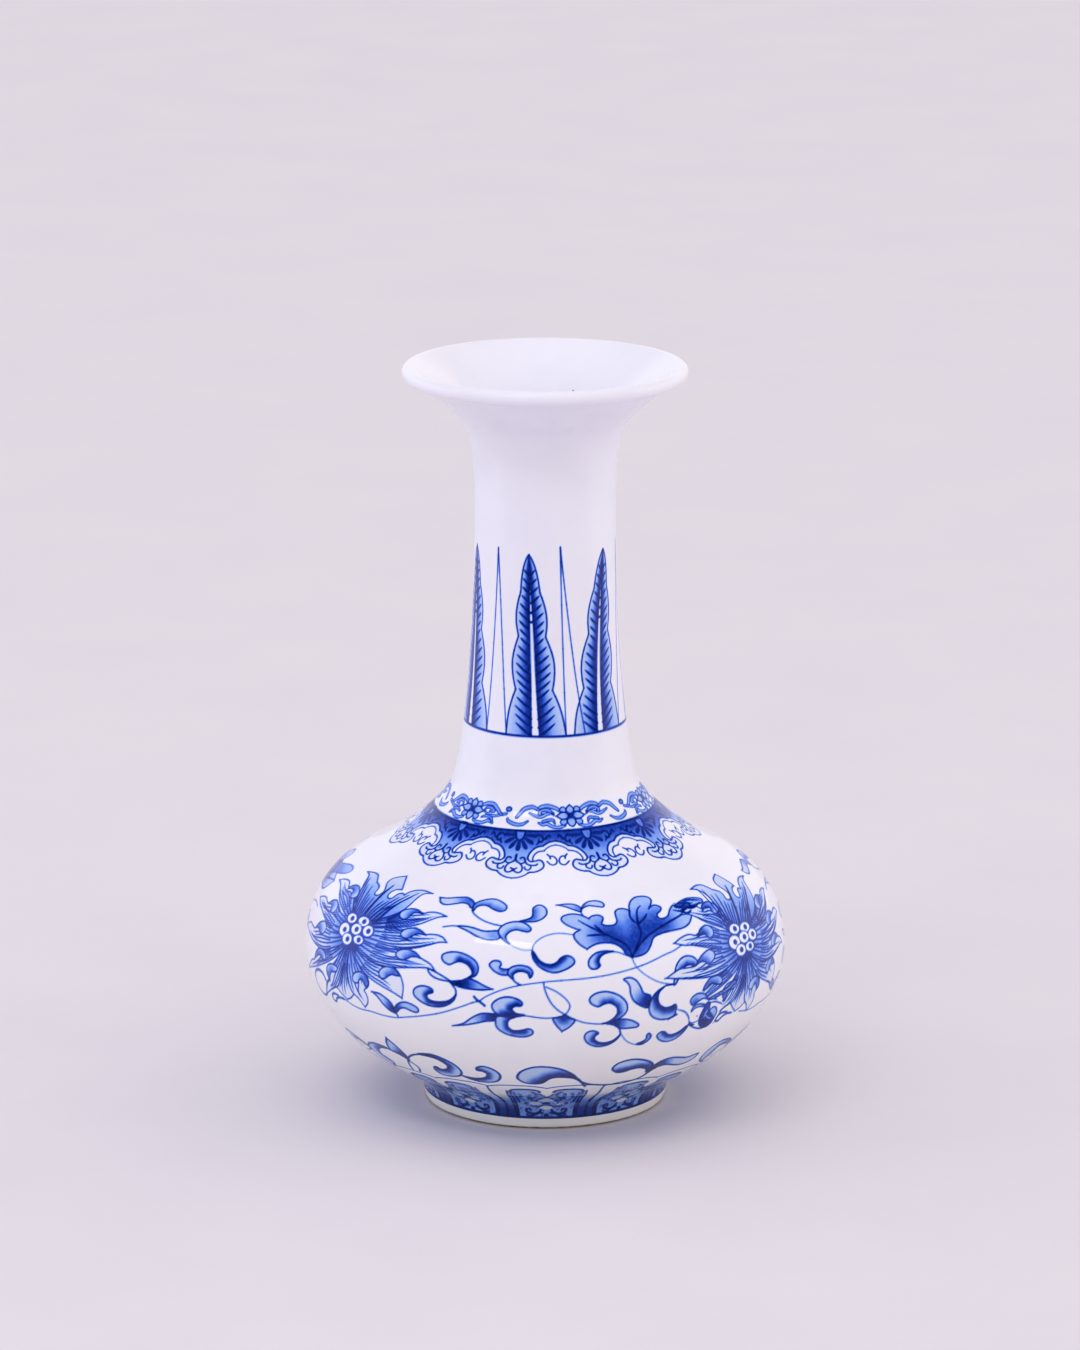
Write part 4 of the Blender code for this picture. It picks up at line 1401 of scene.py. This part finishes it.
LOWER_LINES = [
    ([(-64, 26.5), (-61, 27.6), (-58.3, 29), (-56.5, 31.2), (-53, 33.4)], 0.55, 0.72),
    (
        [(-47, 33.6), (-44, 32.7), (-41.6, 31.5), (-40.2, 29.9), (-38.8, 28), (-38.9, 26.4), (-39.8, 24.9)],
        0.6,
        0.80,
    ),
    ([(-42.6, 24.9), (-41.9, 27.5), (-40.9, 30), (-39.5, 32), (-37.3, 33.7), (-34.6, 34.8)], 0.6, 0.88),
    ([(9.4, 28), (10.6, 25.8), (12, 23.2)], 0.6, 0.9),
    (
        [
            (10.4, 26.2), (13, 24.6), (17, 23.5), (21.5, 23.1), (25.5, 23.6), (28.8, 25.2), (30.2, 27.4),
            (30.5, 29.5),
        ],
        0.8,
        0.86,
    ),
    ([(30.4, 31), (29.8, 32)], 0.6, 0.9),
    ([(29.9, 26.5), (31.2, 28.6), (32.4, 29.8), (33.6, 30.1)], 0.7, 0.95),
    ([(53.4, 24.8), (56, 23.6)], 0.7, 0.6),
]  # fmt: skip
SCALLOPS, SCALLOP_TURN = 20, -8.5
# One arc of the scalloped line, as (share of its pitch, run).
SCALLOP = [
    (-0.5, 22.75), (-0.36, 23.6), (-0.18, 24.15), (0.0, 24.25), (0.18, 24.15), (0.36, 23.6), (0.5, 22.75),
]  # fmt: skip
REPEATS = 3


def lower_scroll():
    """The scroll of broad commas, three times round, over a grey scalloped line."""
    scallop = 360.0 / SCALLOPS
    for k in range(SCALLOPS):
        peak = SCALLOP_TURN + scallop * k
        line([(peak + x * scallop, y) for x, y in SCALLOP], 0.5, 0.70)
    for k in range(REPEATS):
        turn = 360.0 / REPEATS * k
        for way, width, tone in LOWER_LINES:
            line(moved(way, turn, 0), width, tone)
        for washed in LOWER_LEAVES:
            leaf(washed, turn, 0, edge=0.95, line_width=0.6)


def belly_vine(turn, run):
    """The vine, its leaves and commas between one blossom and the next."""
    for way, width, tone in VINE_LINES:
        line(moved(way, turn, run), width, tone)
    for washed in VINE_LEAVES:
        leaf(washed, turn, run)
    leaf(BIG_LEAF, turn, run)
    for way in BIG_LEAF_VEINS:
        line(moved(way, turn, run), 0.5, 0.93, taper=(1.0, 0.5))


# Where each length of the belly's scroll is laid, as (turn, run, slip of its blossom); the front one is at 0.
SCROLLS = ((235.6, -1.7, 0), (0, 0, 0), (111.6, -3.4, 1))
SEED = 11


def paint():
    draws = np.random.default_rng(SEED)
    foot_band(draws)
    lower_scroll()
    for turn, run, slip in SCROLLS:
        belly_vine(turn, run)
        lotus(turn, run, slip, draws)
    slipped_print()
    collar()
    flower_band()
    neck_pattern()


# --------------------------------------------------------------------------------------------------- meshes
SHARP_ANGLE = 38.0


def revolved(name, outline, columns, tone=None, bare=None, cap_top=False, cap_bottom=False, wander=None):
    """A mesh of revolution. Its outline is (radius, height) points in order, joined up or capped on the axis.

    tone is the pigment density of the first rows, and bare the share of each row that has no glaze. wander
    moves each point outwards by some mm, so that a hand-made bead is uneven. A cap is given by its height."""
    points = np.array(outline, float) * MM
    rows = len(points)
    angle = np.radians(np.arange(columns) * 360.0 / columns - 180)
    reach = np.repeat(points[:, 0, None], columns, axis=1)
    if wander is not None:
        reach += wander * MM
    co = np.empty((rows, columns, 3))
    co[..., 0] = reach * np.sin(angle)
    co[..., 1] = -reach * np.cos(angle)
    co[..., 2] = points[:, 1, None]
    co = co.reshape(-1, 3)
    j = np.arange(columns)
    nxt = (j + 1) % columns
    last = rows if not (cap_top or cap_bottom) else rows - 1
    quads = []
    for i in range(last):
        low, high = i * columns, (i + 1) % rows * columns
        quads.append(np.column_stack([low + j, low + nxt, high + nxt, high + j]))
    quads = np.concatenate(quads)
    faces, counts = [quads.ravel()], [np.full(len(quads), 4)]
    extra = []
    for wanted, row, flip in ((cap_bottom, 0, True), (cap_top, rows - 1, False)):
        if not wanted:
            continue
        centre = len(co) + len(extra)
        extra.append((0.0, 0.0, wanted * MM))
        fan = np.column_stack([row * columns + j, row * columns + nxt, np.full(columns, centre)])
        faces.append((fan[:, ::-1] if flip else fan).ravel())
        counts.append(np.full(columns, 3))
    if extra:
        co = np.vstack([co, extra])
    mesh = bpy.data.meshes.new(name)
    loops, totals = np.concatenate(faces), np.concatenate(counts)
    mesh.vertices.add(len(co))
    mesh.vertices.foreach_set("co", co.ravel())
    mesh.loops.add(len(loops))
    mesh.loops.foreach_set("vertex_index", loops.astype(np.int32))
    mesh.polygons.add(len(totals))
    mesh.polygons.foreach_set("loop_start", np.concatenate([[0], np.cumsum(totals)[:-1]]).astype(np.int32))
    mesh.polygons.foreach_set("loop_total", totals.astype(np.int32))
    mesh.update(calc_edges=True)
    mesh.polygons.foreach_set("use_smooth", np.ones(len(totals), bool))
    mesh.set_sharp_from_angle(angle=math.radians(SHARP_ANGLE))
    shares = None if bare is None else np.repeat(bare, columns)
    for attribute, values in (("pigment", tone), ("bare", shares)):
        spread = np.zeros(len(co))
        if values is not None:
            spread[: values.size] = values.ravel()
        mesh.attributes.new(attribute, "FLOAT", "POINT").data.foreach_set("value", spread)
    mesh.validate()
    piece = bpy.data.objects.new(name, mesh)
    bpy.context.scene.collection.objects.link(piece)
    return piece


# -------------------------------------------------------------------------------------- the glazed sections
def outer_outline(runs):
    return np.column_stack([radius_at(runs), height_at(runs)])


def inner_radius(height):
    order = np.argsort(INNER[:, 1])
    return np.interp(height, INNER[order, 1], INNER[order, 0])


def inner_outline(high, low, step):
    """The inner wall from one height down to another."""
    heights = np.linspace(high, low, max(2, int((high - low) / step)))
    return np.column_stack([inner_radius(heights), heights])


BODY_COLUMNS, NECK_COLUMNS, PITCH = 1280, 576, 0.30
# The floor inside and the recess under it, as in the CAD part.
FLOOR_Z, FLOOR_EDGE_Z = 9.0, 14.5
RECESS_RADIUS, RECESS_Z, RECESS_DOME = 28.4, BELLY_LOW[2], 0.8


def build_neck():
    """The neck with its rolled lip; the glaze thins out a little over the lip."""
    outer = outer_outline(neck_canvas.runs)
    centre = outer[-1] + LIP_RADIUS * heading(LIP_SLOPE + 90)
    angles = np.linspace(LIP_SLOPE - 90, LIP_SLOPE + 90, 25)[1:]
    bead = [centre + LIP_RADIUS * heading(angle) for angle in angles]
    inside = inner_outline(bead[-1][1] - 0.05, NECK_SEAM_Z, 1.2)
    outline = np.vstack([outer, bead, inside])
    bare = np.zeros(len(outline))
    bare[len(outer) : len(outer) + len(bead)] = 0.02 * np.sin(np.linspace(0, math.pi, len(bead))) ** 2
    return revolved("glazed_mouth_and_neck", outline, NECK_COLUMNS, neck_canvas.tone, bare)


def build_shoulder():
    outline = np.vstack([outer_outline(shoulder_canvas.runs), inner_outline(NECK_SEAM_Z, BELLY_SEAM_Z, 1.5)])
    return revolved("glazed_shoulder", outline, BODY_COLUMNS, shoulder_canvas.tone)


def build_belly():
    inside = inner_outline(BELLY_SEAM_Z, FLOOR_EDGE_Z, 1.5)
    edge = inside[-1]
    shares = np.linspace(0.97, 0.06, 18)
    floor = [(edge[0] * share, FLOOR_Z + (edge[1] - FLOOR_Z) * share**4) for share in shares]
    recess_shares = (0.07, 0.4, 0.75, 1.0)
    recess = [(RECESS_RADIUS * share, RECESS_Z + RECESS_DOME * (1 - share)) for share in recess_shares]
    outline = np.vstack([recess, outer_outline(belly_canvas.runs), inside, floor])
    tone = np.vstack([np.zeros((len(recess), BODY_COLUMNS)), belly_canvas.tone])
    peak = RECESS_Z + RECESS_DOME
    return revolved("glazed_belly", outline, BODY_COLUMNS, tone, cap_top=FLOOR_Z, cap_bottom=peak)


def build_foot():
    """The foot ring: glazed outside and inside, with a bare bearing edge that has been ground flat."""
    outer, inner, top = FOOT_TOP[0], RECESS_RADIUS, FOOT_TOP[2]
    # The bare bearing edge is coloured dark: partly kiln dirt, partly painted contact shade against the
    # floor.
    outside = [
        (0, top, 0), (0.1, 2.3, 0), (0.28, 1.55, 0), (0.48, 0.85, 0.06), (0.62, 0.5, 0.6), (0.86, 0.24, 1),
        (1.12, 0.07, 1), (1.4, 0, 1), (1.9, 0, 1),
    ]  # fmt: skip
    inside = [
        (1.4, 0, 1), (0.9, 0, 1), (0.62, 0.1, 1), (0.38, 0.35, 1), (0.24, 0.6, 0.8), (0.16, 1.0, 0.1),
        (0.08, 1.7, 0), (0, top, 0),
    ]  # fmt: skip
    profile = [(outer - x, z, bare) for x, z, bare in outside]
    profile += [(inner + x, z, bare) for x, z, bare in inside]
    profile = np.array(profile)
    return revolved("foot_ring_turned", profile[:, :2], BODY_COLUMNS // 2, bare=profile[:, 2])


SLIP_PROUD, SLIP_HEIGHT, SLIP_COLUMNS = 1.1, 3.4, 384
SLIP_SUNK, SLIP_BACK = 0.25, 0.3  # how far a bead's ends and its back lie inside the wall, in mm


def uneven(rows, lumps, size):
    """How much a smear of slip strays from its outline, in mm, at each point round it; none at its ends."""
    angle = np.arange(SLIP_COLUMNS) * math.tau / SLIP_COLUMNS
    sway = sum(np.sin(n * angle + n * n) / (1 + 0.2 * n) for n in lumps)
    body = np.sin(np.linspace(0, math.pi, rows))
    return size * body[:, None] * sway[None, :]


def build_seam_slip(name, seam_z, lumps):
    """A bead of slip that stands out inside the wall along a seam, smeared by hand."""
    shares = np.linspace(-1, 1, 15)
    heights = seam_z + shares * SLIP_HEIGHT / 2
    wall = inner_radius(heights)
    crest = np.sqrt(np.maximum(1 - shares**2, 0))
    bead = np.column_stack([wall + SLIP_SUNK - (SLIP_PROUD + SLIP_SUNK) * crest, heights])
    back = np.column_stack([wall[::-1][1:-1] + SLIP_BACK, heights[::-1][1:-1]])
    outline = np.vstack([bead, back])
    wander = np.zeros((len(outline), SLIP_COLUMNS))
    wander[: len(bead)] = -uneven(len(bead), lumps, 0.10)
    return revolved(name, outline, SLIP_COLUMNS, wander=wander)


def build_foot_slip():
    """The fillet of slip in the corner between the foot ring and the recessed base."""
    reach, corner = 1.25, np.array([RECESS_RADIUS, RECESS_Z])
    bends = [heading(angle) for angle in np.linspace(0, 90, 9)]
    fillet = [corner + reach * (bend - 1) + [0.05, 0.1] for bend in bends]
    outline = np.vstack([fillet[::-1], [corner + [0.3, 0.3]]])
    wander = np.zeros((len(outline), SLIP_COLUMNS))
    wander[: len(fillet)] = uneven(len(fillet), (3, 7, 16, 29), 0.08)
    return revolved("fired_foot_slip", outline, SLIP_COLUMNS, wander=wander)


# ------------------------------------------------------------------------------------------------ materials
class Graph:
    """A material's node tree, with short ways to add the nodes used here."""

    def __init__(self, name):
        self.material = bpy.data.materials.new(name)
        self.material.use_nodes = True
        self.nodes, self.links = self.material.node_tree.nodes, self.material.node_tree.links
        self.shader = self.nodes["Principled BSDF"]
        self.place = self.nodes.new("ShaderNodeTexCoord").outputs["Object"]

    def give(self, socket, value):
        if isinstance(value, bpy.types.NodeSocket):
            self.links.new(value, socket)
        else:
            socket.default_value = (*value, 1.0) if isinstance(value, tuple) and len(value) == 3 else value

    def set(self, **values):
        for name, value in values.items():
            self.give(self.shader.inputs[name.replace("_", " ")], value)

    def attribute(self, name):
        node = self.nodes.new("ShaderNodeAttribute")
        node.attribute_name = name
        return node.outputs["Fac"]

    def noise(self, size, detail=3.0, roughness=0.5):
        """Noise from 0 to 1 with features of about size mm."""
        node = self.nodes.new("ShaderNodeTexNoise")
        self.links.new(self.place, node.inputs["Vector"])
        node.inputs["Scale"].default_value = 1 / (size * MM)
        node.inputs["Detail"].default_value = detail
        node.inputs["Roughness"].default_value = roughness
        return node.outputs["Fac"]

    def cells(self, size):
        """The distance from the nearest of scattered points that are about size mm apart, in cells."""
        node = self.nodes.new("ShaderNodeTexVoronoi")
        self.links.new(self.place, node.inputs["Vector"])
        node.inputs["Scale"].default_value = 1 / (size * MM)
        return node.outputs["Distance"]

    def maths(self, operation, a, b=0.0, clamp=False):
        node = self.nodes.new("ShaderNodeMath")
        node.operation = operation
        node.use_clamp = clamp
        self.give(node.inputs[0], a)
        self.give(node.inputs[1], b)
        return node.outputs["Value"]

    def spread(self, value, low, high, start=0.0, end=1.0):
        """Value mapped from start..end to low..high, held at both ends."""
        node = self.nodes.new("ShaderNodeMapRange")
        for socket, number in zip(node.inputs[1:5], (start, end, low, high)):
            socket.default_value = number
        self.links.new(value, node.inputs[0])
        return node.outputs["Result"]

    def ramp(self, value, stops):
        node = self.nodes.new("ShaderNodeValToRGB")
        elements = node.color_ramp.elements
        while len(elements) < len(stops):
            elements.new(0.5)
        for element, (position, colour) in zip(elements, stops):
            element.position = position
            element.color = (*colour, 1.0)
        self.links.new(value, node.inputs["Fac"])
        return node.outputs["Color"]

    def mix(self, share, a, b, blend="MIX"):
        node = self.nodes.new("ShaderNodeMix")
        node.data_type = "RGBA"
        node.blend_type = blend
        sockets = [socket for socket in node.inputs if socket.type == "RGBA"]
        self.give(node.inputs[0], share)
        self.give(sockets[0], a)
        self.give(sockets[1], b)
        return next(socket for socket in node.outputs if socket.type == "RGBA")

    def bump(self, height, distance, strength, under=None):
        node = self.nodes.new("ShaderNodeBump")
        node.inputs["Strength"].default_value = strength
        node.inputs["Distance"].default_value = distance * MM
        self.links.new(height, node.inputs["Height"])
        if under is not None:
            self.links.new(under, node.inputs["Normal"])
        return node.outputs["Normal"]


def srgb(red, green, blue):
    """A screen colour, 0 to 255, as the linear numbers that shaders take."""
    out = []
    for value in (red, green, blue):
        c = value / 255
        out.append(c / 12.92 if c <= 0.04045 else ((c + 0.055) / 1.055) ** 2.4)
    return tuple(out)


COBALT = [
    (0.00, srgb(243, 242, 254)),
    (0.14, srgb(212, 221, 252)),
    (0.32, srgb(148, 184, 253)),
    (0.52, srgb(80, 125, 239)),
    (0.74, srgb(21, 60, 176)),
    (1.00, srgb(0, 20, 100)),
]
WARM_CLOUD, COOL_CLOUD, IRON = srgb(252, 249, 245), srgb(243, 246, 252), srgb(92, 74, 66)
# The biscuit and its dirt are darker than their own colour. This is painted contact shade along the line
# where the foot meets the floor, with some real kiln dirt.
SHADED_BISCUIT, KILN_DIRT_AND_CONTACT_SHADE, THIN_GLAZE = srgb(150, 139, 120), srgb(80, 70, 60), srgb(222, 219, 198)
LOW_POT_SHADE_TINT = (0.86, 0.885, 0.67)  # painted shade low on the pot: a multiplier that greys and darkens the colours there, most where there is pigment


def porcelain():
    """White porcelain under a clear glaze, with cobalt under it where the pigment attribute says.

    The cobalt pools unevenly, and the white has faint warm and cool clouds and a few iron specks. Where the
    bare attribute says so, the glaze stops at a wandering line and leaves biscuit."""
    g = Graph("underglaze_blue_porcelain")
    pooling = g.spread(g.noise(1.3, 4.0, 0.6), 0.80, 1.18)
    washed = g.maths("MULTIPLY", g.attribute("pigment"), pooling, clamp=True)
    colour = g.ramp(washed, COBALT)
    warm = g.mix(1.0, colour, WARM_CLOUD, "MULTIPLY")
    colour = g.mix(g.spread(g.noise(38, 3.0), 0.0, 0.55, 0.35, 0.7), colour, warm)
    cool = g.mix(1.0, colour, COOL_CLOUD, "MULTIPLY")
    colour = g.mix(g.spread(g.noise(9, 4.0), 0.0, 0.35, 0.45, 0.8), colour, cool)
    specks = g.maths("LESS_THAN", g.cells(21), 0.012)
    colour = g.mix(g.maths("MULTIPLY", specks, 0.75), colour, IRON)
    # Painted shade: below about 55 mm the colours are greyed and darkened towards the bottom, because the
    # down-facing lower belly and foot lie in shade.
    height = g.nodes.new("ShaderNodeSeparateXYZ")
    g.links.new(g.place, height.inputs[0])
    low = g.spread(height.outputs["Z"], 1.0, 0.0, 0.008, 0.055)
    painted_shade_share = g.maths("MULTIPLY", low, g.spread(washed, 0.55, 1.0))
    colour = g.mix(painted_shade_share, colour, g.mix(1.0, colour, LOW_POT_SHADE_TINT, "MULTIPLY"))
    line_wander = g.spread(g.noise(2.2, 3.0), -0.35, 0.35, 0.25, 0.75)
    edge = g.maths("ADD", g.attribute("bare"), g.maths("MULTIPLY", line_wander, g.attribute("bare")))
    colour = g.mix(g.spread(edge, 0.0, 1.0, 0.02, 0.3), colour, THIN_GLAZE)
    bare = g.spread(edge, 0.0, 1.0, 0.3, 0.7)
    # Bare biscuit edge: real kiln dirt mixed with painted contact shade.
    biscuit = g.mix(g.spread(g.noise(1.6, 5.0, 0.65), 0.0, 1.0, 0.4, 0.7), SHADED_BISCUIT, KILN_DIRT_AND_CONTACT_SHADE)
    smudge = g.noise(24, 5.0, 0.6)
    g.set(
        Base_Color=g.mix(bare, colour, biscuit),
        Roughness=g.spread(bare, 0.24, 0.8),
        Specular_IOR_Level=0.0,
        Coat_Weight=g.spread(bare, 0.9, 0.0),
        Coat_Roughness=g.spread(smudge, 0.03, 0.12, 0.3, 0.75),
        Coat_IOR=1.5,
        Coat_Normal=g.bump(g.noise(7, 2.0), 0.25, 0.12, g.bump(g.noise(1.4, 2.0), 0.05, 0.10)),
        Normal=g.bump(g.maths("MULTIPLY", g.noise(0.35, 4.0), bare), 0.08, 0.6),
    )
    return g.material


SLIP_HOLLOW_SHADE, SLIP_MIDDLE, SLIP_CREST_LIGHT = srgb(204, 198, 186), srgb(222, 217, 207), srgb(234, 230, 222)
SLIP_PIT_SHADE = srgb(150, 140, 124)


def slip():
    """Fired slip: matt off-white, with finger marks and grains. Its colour has painted shade in the hollows
    of its bump and in small pits, and painted light on its crests.
    """
    g = Graph("fired_luting_slip")
    smear = g.noise(3.0, 5.0, 0.6)
    grains = g.noise(0.5, 4.0, 0.7)
    # Painted shade and light: darker where the smear's bump is low, paler on its crests. The pits are small
    # spots of painted shade.
    colour = g.ramp(smear, [(0.30, SLIP_HOLLOW_SHADE), (0.52, SLIP_MIDDLE), (0.72, SLIP_CREST_LIGHT)])
    painted_pit_shade = g.maths("LESS_THAN", g.cells(2.1), 0.14)
    colour = g.mix(g.maths("MULTIPLY", painted_pit_shade, 0.4), colour, SLIP_PIT_SHADE)
    g.set(
        Base_Color=colour,
        Roughness=g.spread(smear, 0.55, 0.85, 0.3, 0.7),
        Coat_Weight=0.0,
        Normal=g.bump(grains, 0.12, 0.5, g.bump(smear, 0.5, 0.4)),
    )
    return g.material


PAPER_DARK, PAPER_LIGHT, BLACK = srgb(225, 219, 226), srgb(228, 222, 228), (0.0, 0.0, 0.0)
DIM_FROM, DIM_TO = -0.05, -0.26  # metres in front of the vase between which the mirrored paper darkens


def paper():
    """The pale sweep the vase stands on, with the faintest mottling and tooth.

    The glaze mirrors the paper near the vase and behind it; further to the front it mirrors a dim room."""
    g = Graph("pale_paper_sweep")
    colour = g.ramp(g.noise(60, 4.0), [(0.3, PAPER_DARK), (0.7, PAPER_LIGHT)])
    away = g.nodes.new("ShaderNodeSeparateXYZ")
    g.links.new(g.place, away.inputs[0])
    dim = g.spread(away.outputs["Y"], 0.92, 0.0, DIM_TO, DIM_FROM)
    mirrored = g.nodes.new("ShaderNodeLightPath").outputs["Is Glossy Ray"]
    colour = g.mix(g.maths("MULTIPLY", dim, mirrored), colour, BLACK)
    tooth = g.bump(g.noise(1.2, 3.0), 0.05, 0.15)
    g.set(Base_Color=colour, Roughness=0.92, Specular_IOR_Level=0.2, Normal=tooth)
    return g.material


# --------------------------------------------------------------------------------------------------- pieces
belly_canvas = Canvas(0.0, BELLY_SEAM, BODY_COLUMNS, PITCH)
shoulder_canvas = Canvas(BELLY_SEAM, NECK_SEAM, BODY_COLUMNS, PITCH)
neck_canvas = Canvas(NECK_SEAM, LIP_RUN, NECK_COLUMNS, PITCH)
canvases += [belly_canvas, shoulder_canvas, neck_canvas]
paint()

glaze, dried_slip = porcelain(), slip()
neck_slip = build_seam_slip("fired_neck_slip", NECK_SEAM_Z, (2, 5, 11, 23))
belly_slip = build_seam_slip("fired_belly_slip", BELLY_SEAM_Z, (3, 8, 19, 37))
for piece, node, slot, material in (
    (build_neck(), "mouth_and_neck", "glazed_porcelain", glaze),
    (build_shoulder(), "shoulder_section", "glazed_porcelain", glaze),
    (build_belly(), "belly_section", "glazed_porcelain", glaze),
    (build_foot(), "foot_ring", "foot_biscuit", glaze),
    (neck_slip, "neck_luting_slip", "luting_slip", dried_slip),
    (belly_slip, "belly_luting_slip", "luting_slip", dried_slip),
    (build_foot_slip(), "foot_luting_slip", "luting_slip", dried_slip),
):
    piece.data.materials.append(material)
    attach(piece, "root")
    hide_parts(node)

# ---------------------------------------------------------------------------------------------------- stage
CAMERA_DISTANCE, CAMERA_HEIGHT, CAMERA_PITCH, CAMERA_ASIDE = 1664.7, 535.3, 14.138, -1.35
LENS, SENSOR = 172.5, 36.0
FLOOR_HALF = 6.0

camera_data = bpy.data.cameras.new("camera")
camera_data.lens, camera_data.sensor_width = LENS, SENSOR
camera = bpy.data.objects.new("camera", camera_data)
camera.location = (CAMERA_ASIDE * MM, -CAMERA_DISTANCE * MM, CAMERA_HEIGHT * MM)
camera.rotation_euler = (math.radians(90 - CAMERA_PITCH), 0, 0)
bpy.context.scene.collection.objects.link(camera)
bpy.context.scene.camera = camera

floor_mesh = bpy.data.meshes.new("floor")
corners = [(x * FLOOR_HALF, y * FLOOR_HALF, 0) for x, y in ((-1, -1), (1, -1), (1, 1), (-1, 1))]
floor_mesh.from_pydata(corners, [], [(0, 1, 2, 3)])
floor = bpy.data.objects.new("floor", floor_mesh)
floor.data.materials.append(paper())
bpy.context.scene.collection.objects.link(floor)

FRONT_LIGHT, SIDE_LIGHT, MIRRORED = 0.67, 0.72, (0.04, 1.0)
LEFT_TINT, RIGHT_TINT, BACKDROP = (0.93, 0.935, 1.05), (1.0, 0.94, 0.905), srgb(226, 219, 227)


class Sky:
    """The world's node tree, with short ways to add the nodes used here."""

    def __init__(self, name):
        self.world = bpy.data.worlds.new(name)
        self.world.use_nodes = True
        self.nodes, self.links = self.world.node_tree.nodes, self.world.node_tree.links
        self.way = self.nodes.new("ShaderNodeSeparateXYZ")
        self.links.new(self.nodes.new("ShaderNodeTexCoord").outputs["Generated"], self.way.inputs[0])

    def spread(self, value, start, end, low=0.0, high=1.0, kind="LINEAR"):
        node = self.nodes.new("ShaderNodeMapRange")
        node.interpolation_type = kind
        for socket, number in zip(node.inputs[1:5], (start, end, low, high)):
            socket.default_value = number
        self.links.new(value, node.inputs["Value"])
        return node.outputs["Result"]

    def maths(self, operation, *values):
        node = self.nodes.new("ShaderNodeMath")
        node.operation = operation
        for socket, value in zip(node.inputs, values):
            if isinstance(value, float):
                socket.default_value = value
            else:
                self.links.new(value, socket)
        return node.outputs[0]


def studio_light():
    """Light from all round: brighter at the sides than in front, cool from the left and warm from the right.

    The glaze mirrors a dim room instead, but for its bright walls at the sides and the back. The camera sees
    a backdrop as pale as the sweep."""
    sky = Sky("studio")
    nodes, links = sky.nodes, sky.links
    x, y, z = (sky.way.outputs[axis] for axis in "XYZ")
    tint = nodes.new("ShaderNodeValToRGB")
    for element, colour in zip(tint.color_ramp.elements, (LEFT_TINT, RIGHT_TINT)):
        element.color = (*colour, 1.0)
    links.new(sky.spread(x, -1.0, 1.0), tint.inputs["Fac"])
    links.new(tint.outputs["Color"], nodes["Background"].inputs["Color"])
    around = sky.maths("ADD", sky.maths("MULTIPLY", sky.maths("MULTIPLY", x, x), SIDE_LIGHT), FRONT_LIGHT)
    behind, level = sky.spread(y, -0.5, 0.0, kind="SMOOTHSTEP"), sky.spread(z, 0.7, 0.3, kind="SMOOTHSTEP")
    walls = sky.spread(sky.maths("MULTIPLY", behind, level), 0.0, 1.0, *MIRRORED)
    ray, choose = nodes.new("ShaderNodeLightPath"), nodes.new("ShaderNodeMix")
    links.new(ray.outputs["Is Glossy Ray"], choose.inputs["Factor"])
    links.new(around, choose.inputs["A"])
    links.new(walls, choose.inputs["B"])
    links.new(choose.outputs["Result"], nodes["Background"].inputs["Strength"])
    backdrop, seen = nodes.new("ShaderNodeBackground"), nodes.new("ShaderNodeMixShader")
    backdrop.inputs["Color"].default_value = (*BACKDROP, 1.0)
    links.new(ray.outputs["Is Camera Ray"], seen.inputs[0])
    links.new(nodes["Background"].outputs[0], seen.inputs[1])
    links.new(backdrop.outputs[0], seen.inputs[2])
    links.new(seen.outputs[0], nodes["World Output"].inputs["Surface"])
    bpy.context.scene.world = sky.world


studio_light()


def light(name, kind, place, target, energy, **settings):
    """A lamp that points at a place. Only the window, an area lamp, is mirrored in the glaze."""
    data = bpy.data.lights.new(name, kind)
    data.energy = energy
    for setting, value in settings.items():
        setattr(data, setting, value)
    lamp = bpy.data.objects.new(name, data)
    lamp.location = place
    lamp.rotation_euler = (Vector(target) - Vector(place)).to_track_quat("-Z", "Y").to_euler()
    lamp.visible_glossy = kind == "AREA"
    bpy.context.scene.collection.objects.link(lamp)


light("ceiling", "SUN", (0.12, -0.45, 1.5), (0, 0, 0), 0.52, angle=math.radians(120))
window = {"shape": "RECTANGLE", "size": 0.8, "size_y": 0.2}
light("window", "AREA", (-0.5, -1.0, 1.5), (0, 0, 0.1), 2.2, **window)
bpy.context.scene.view_settings.view_transform = "Standard"
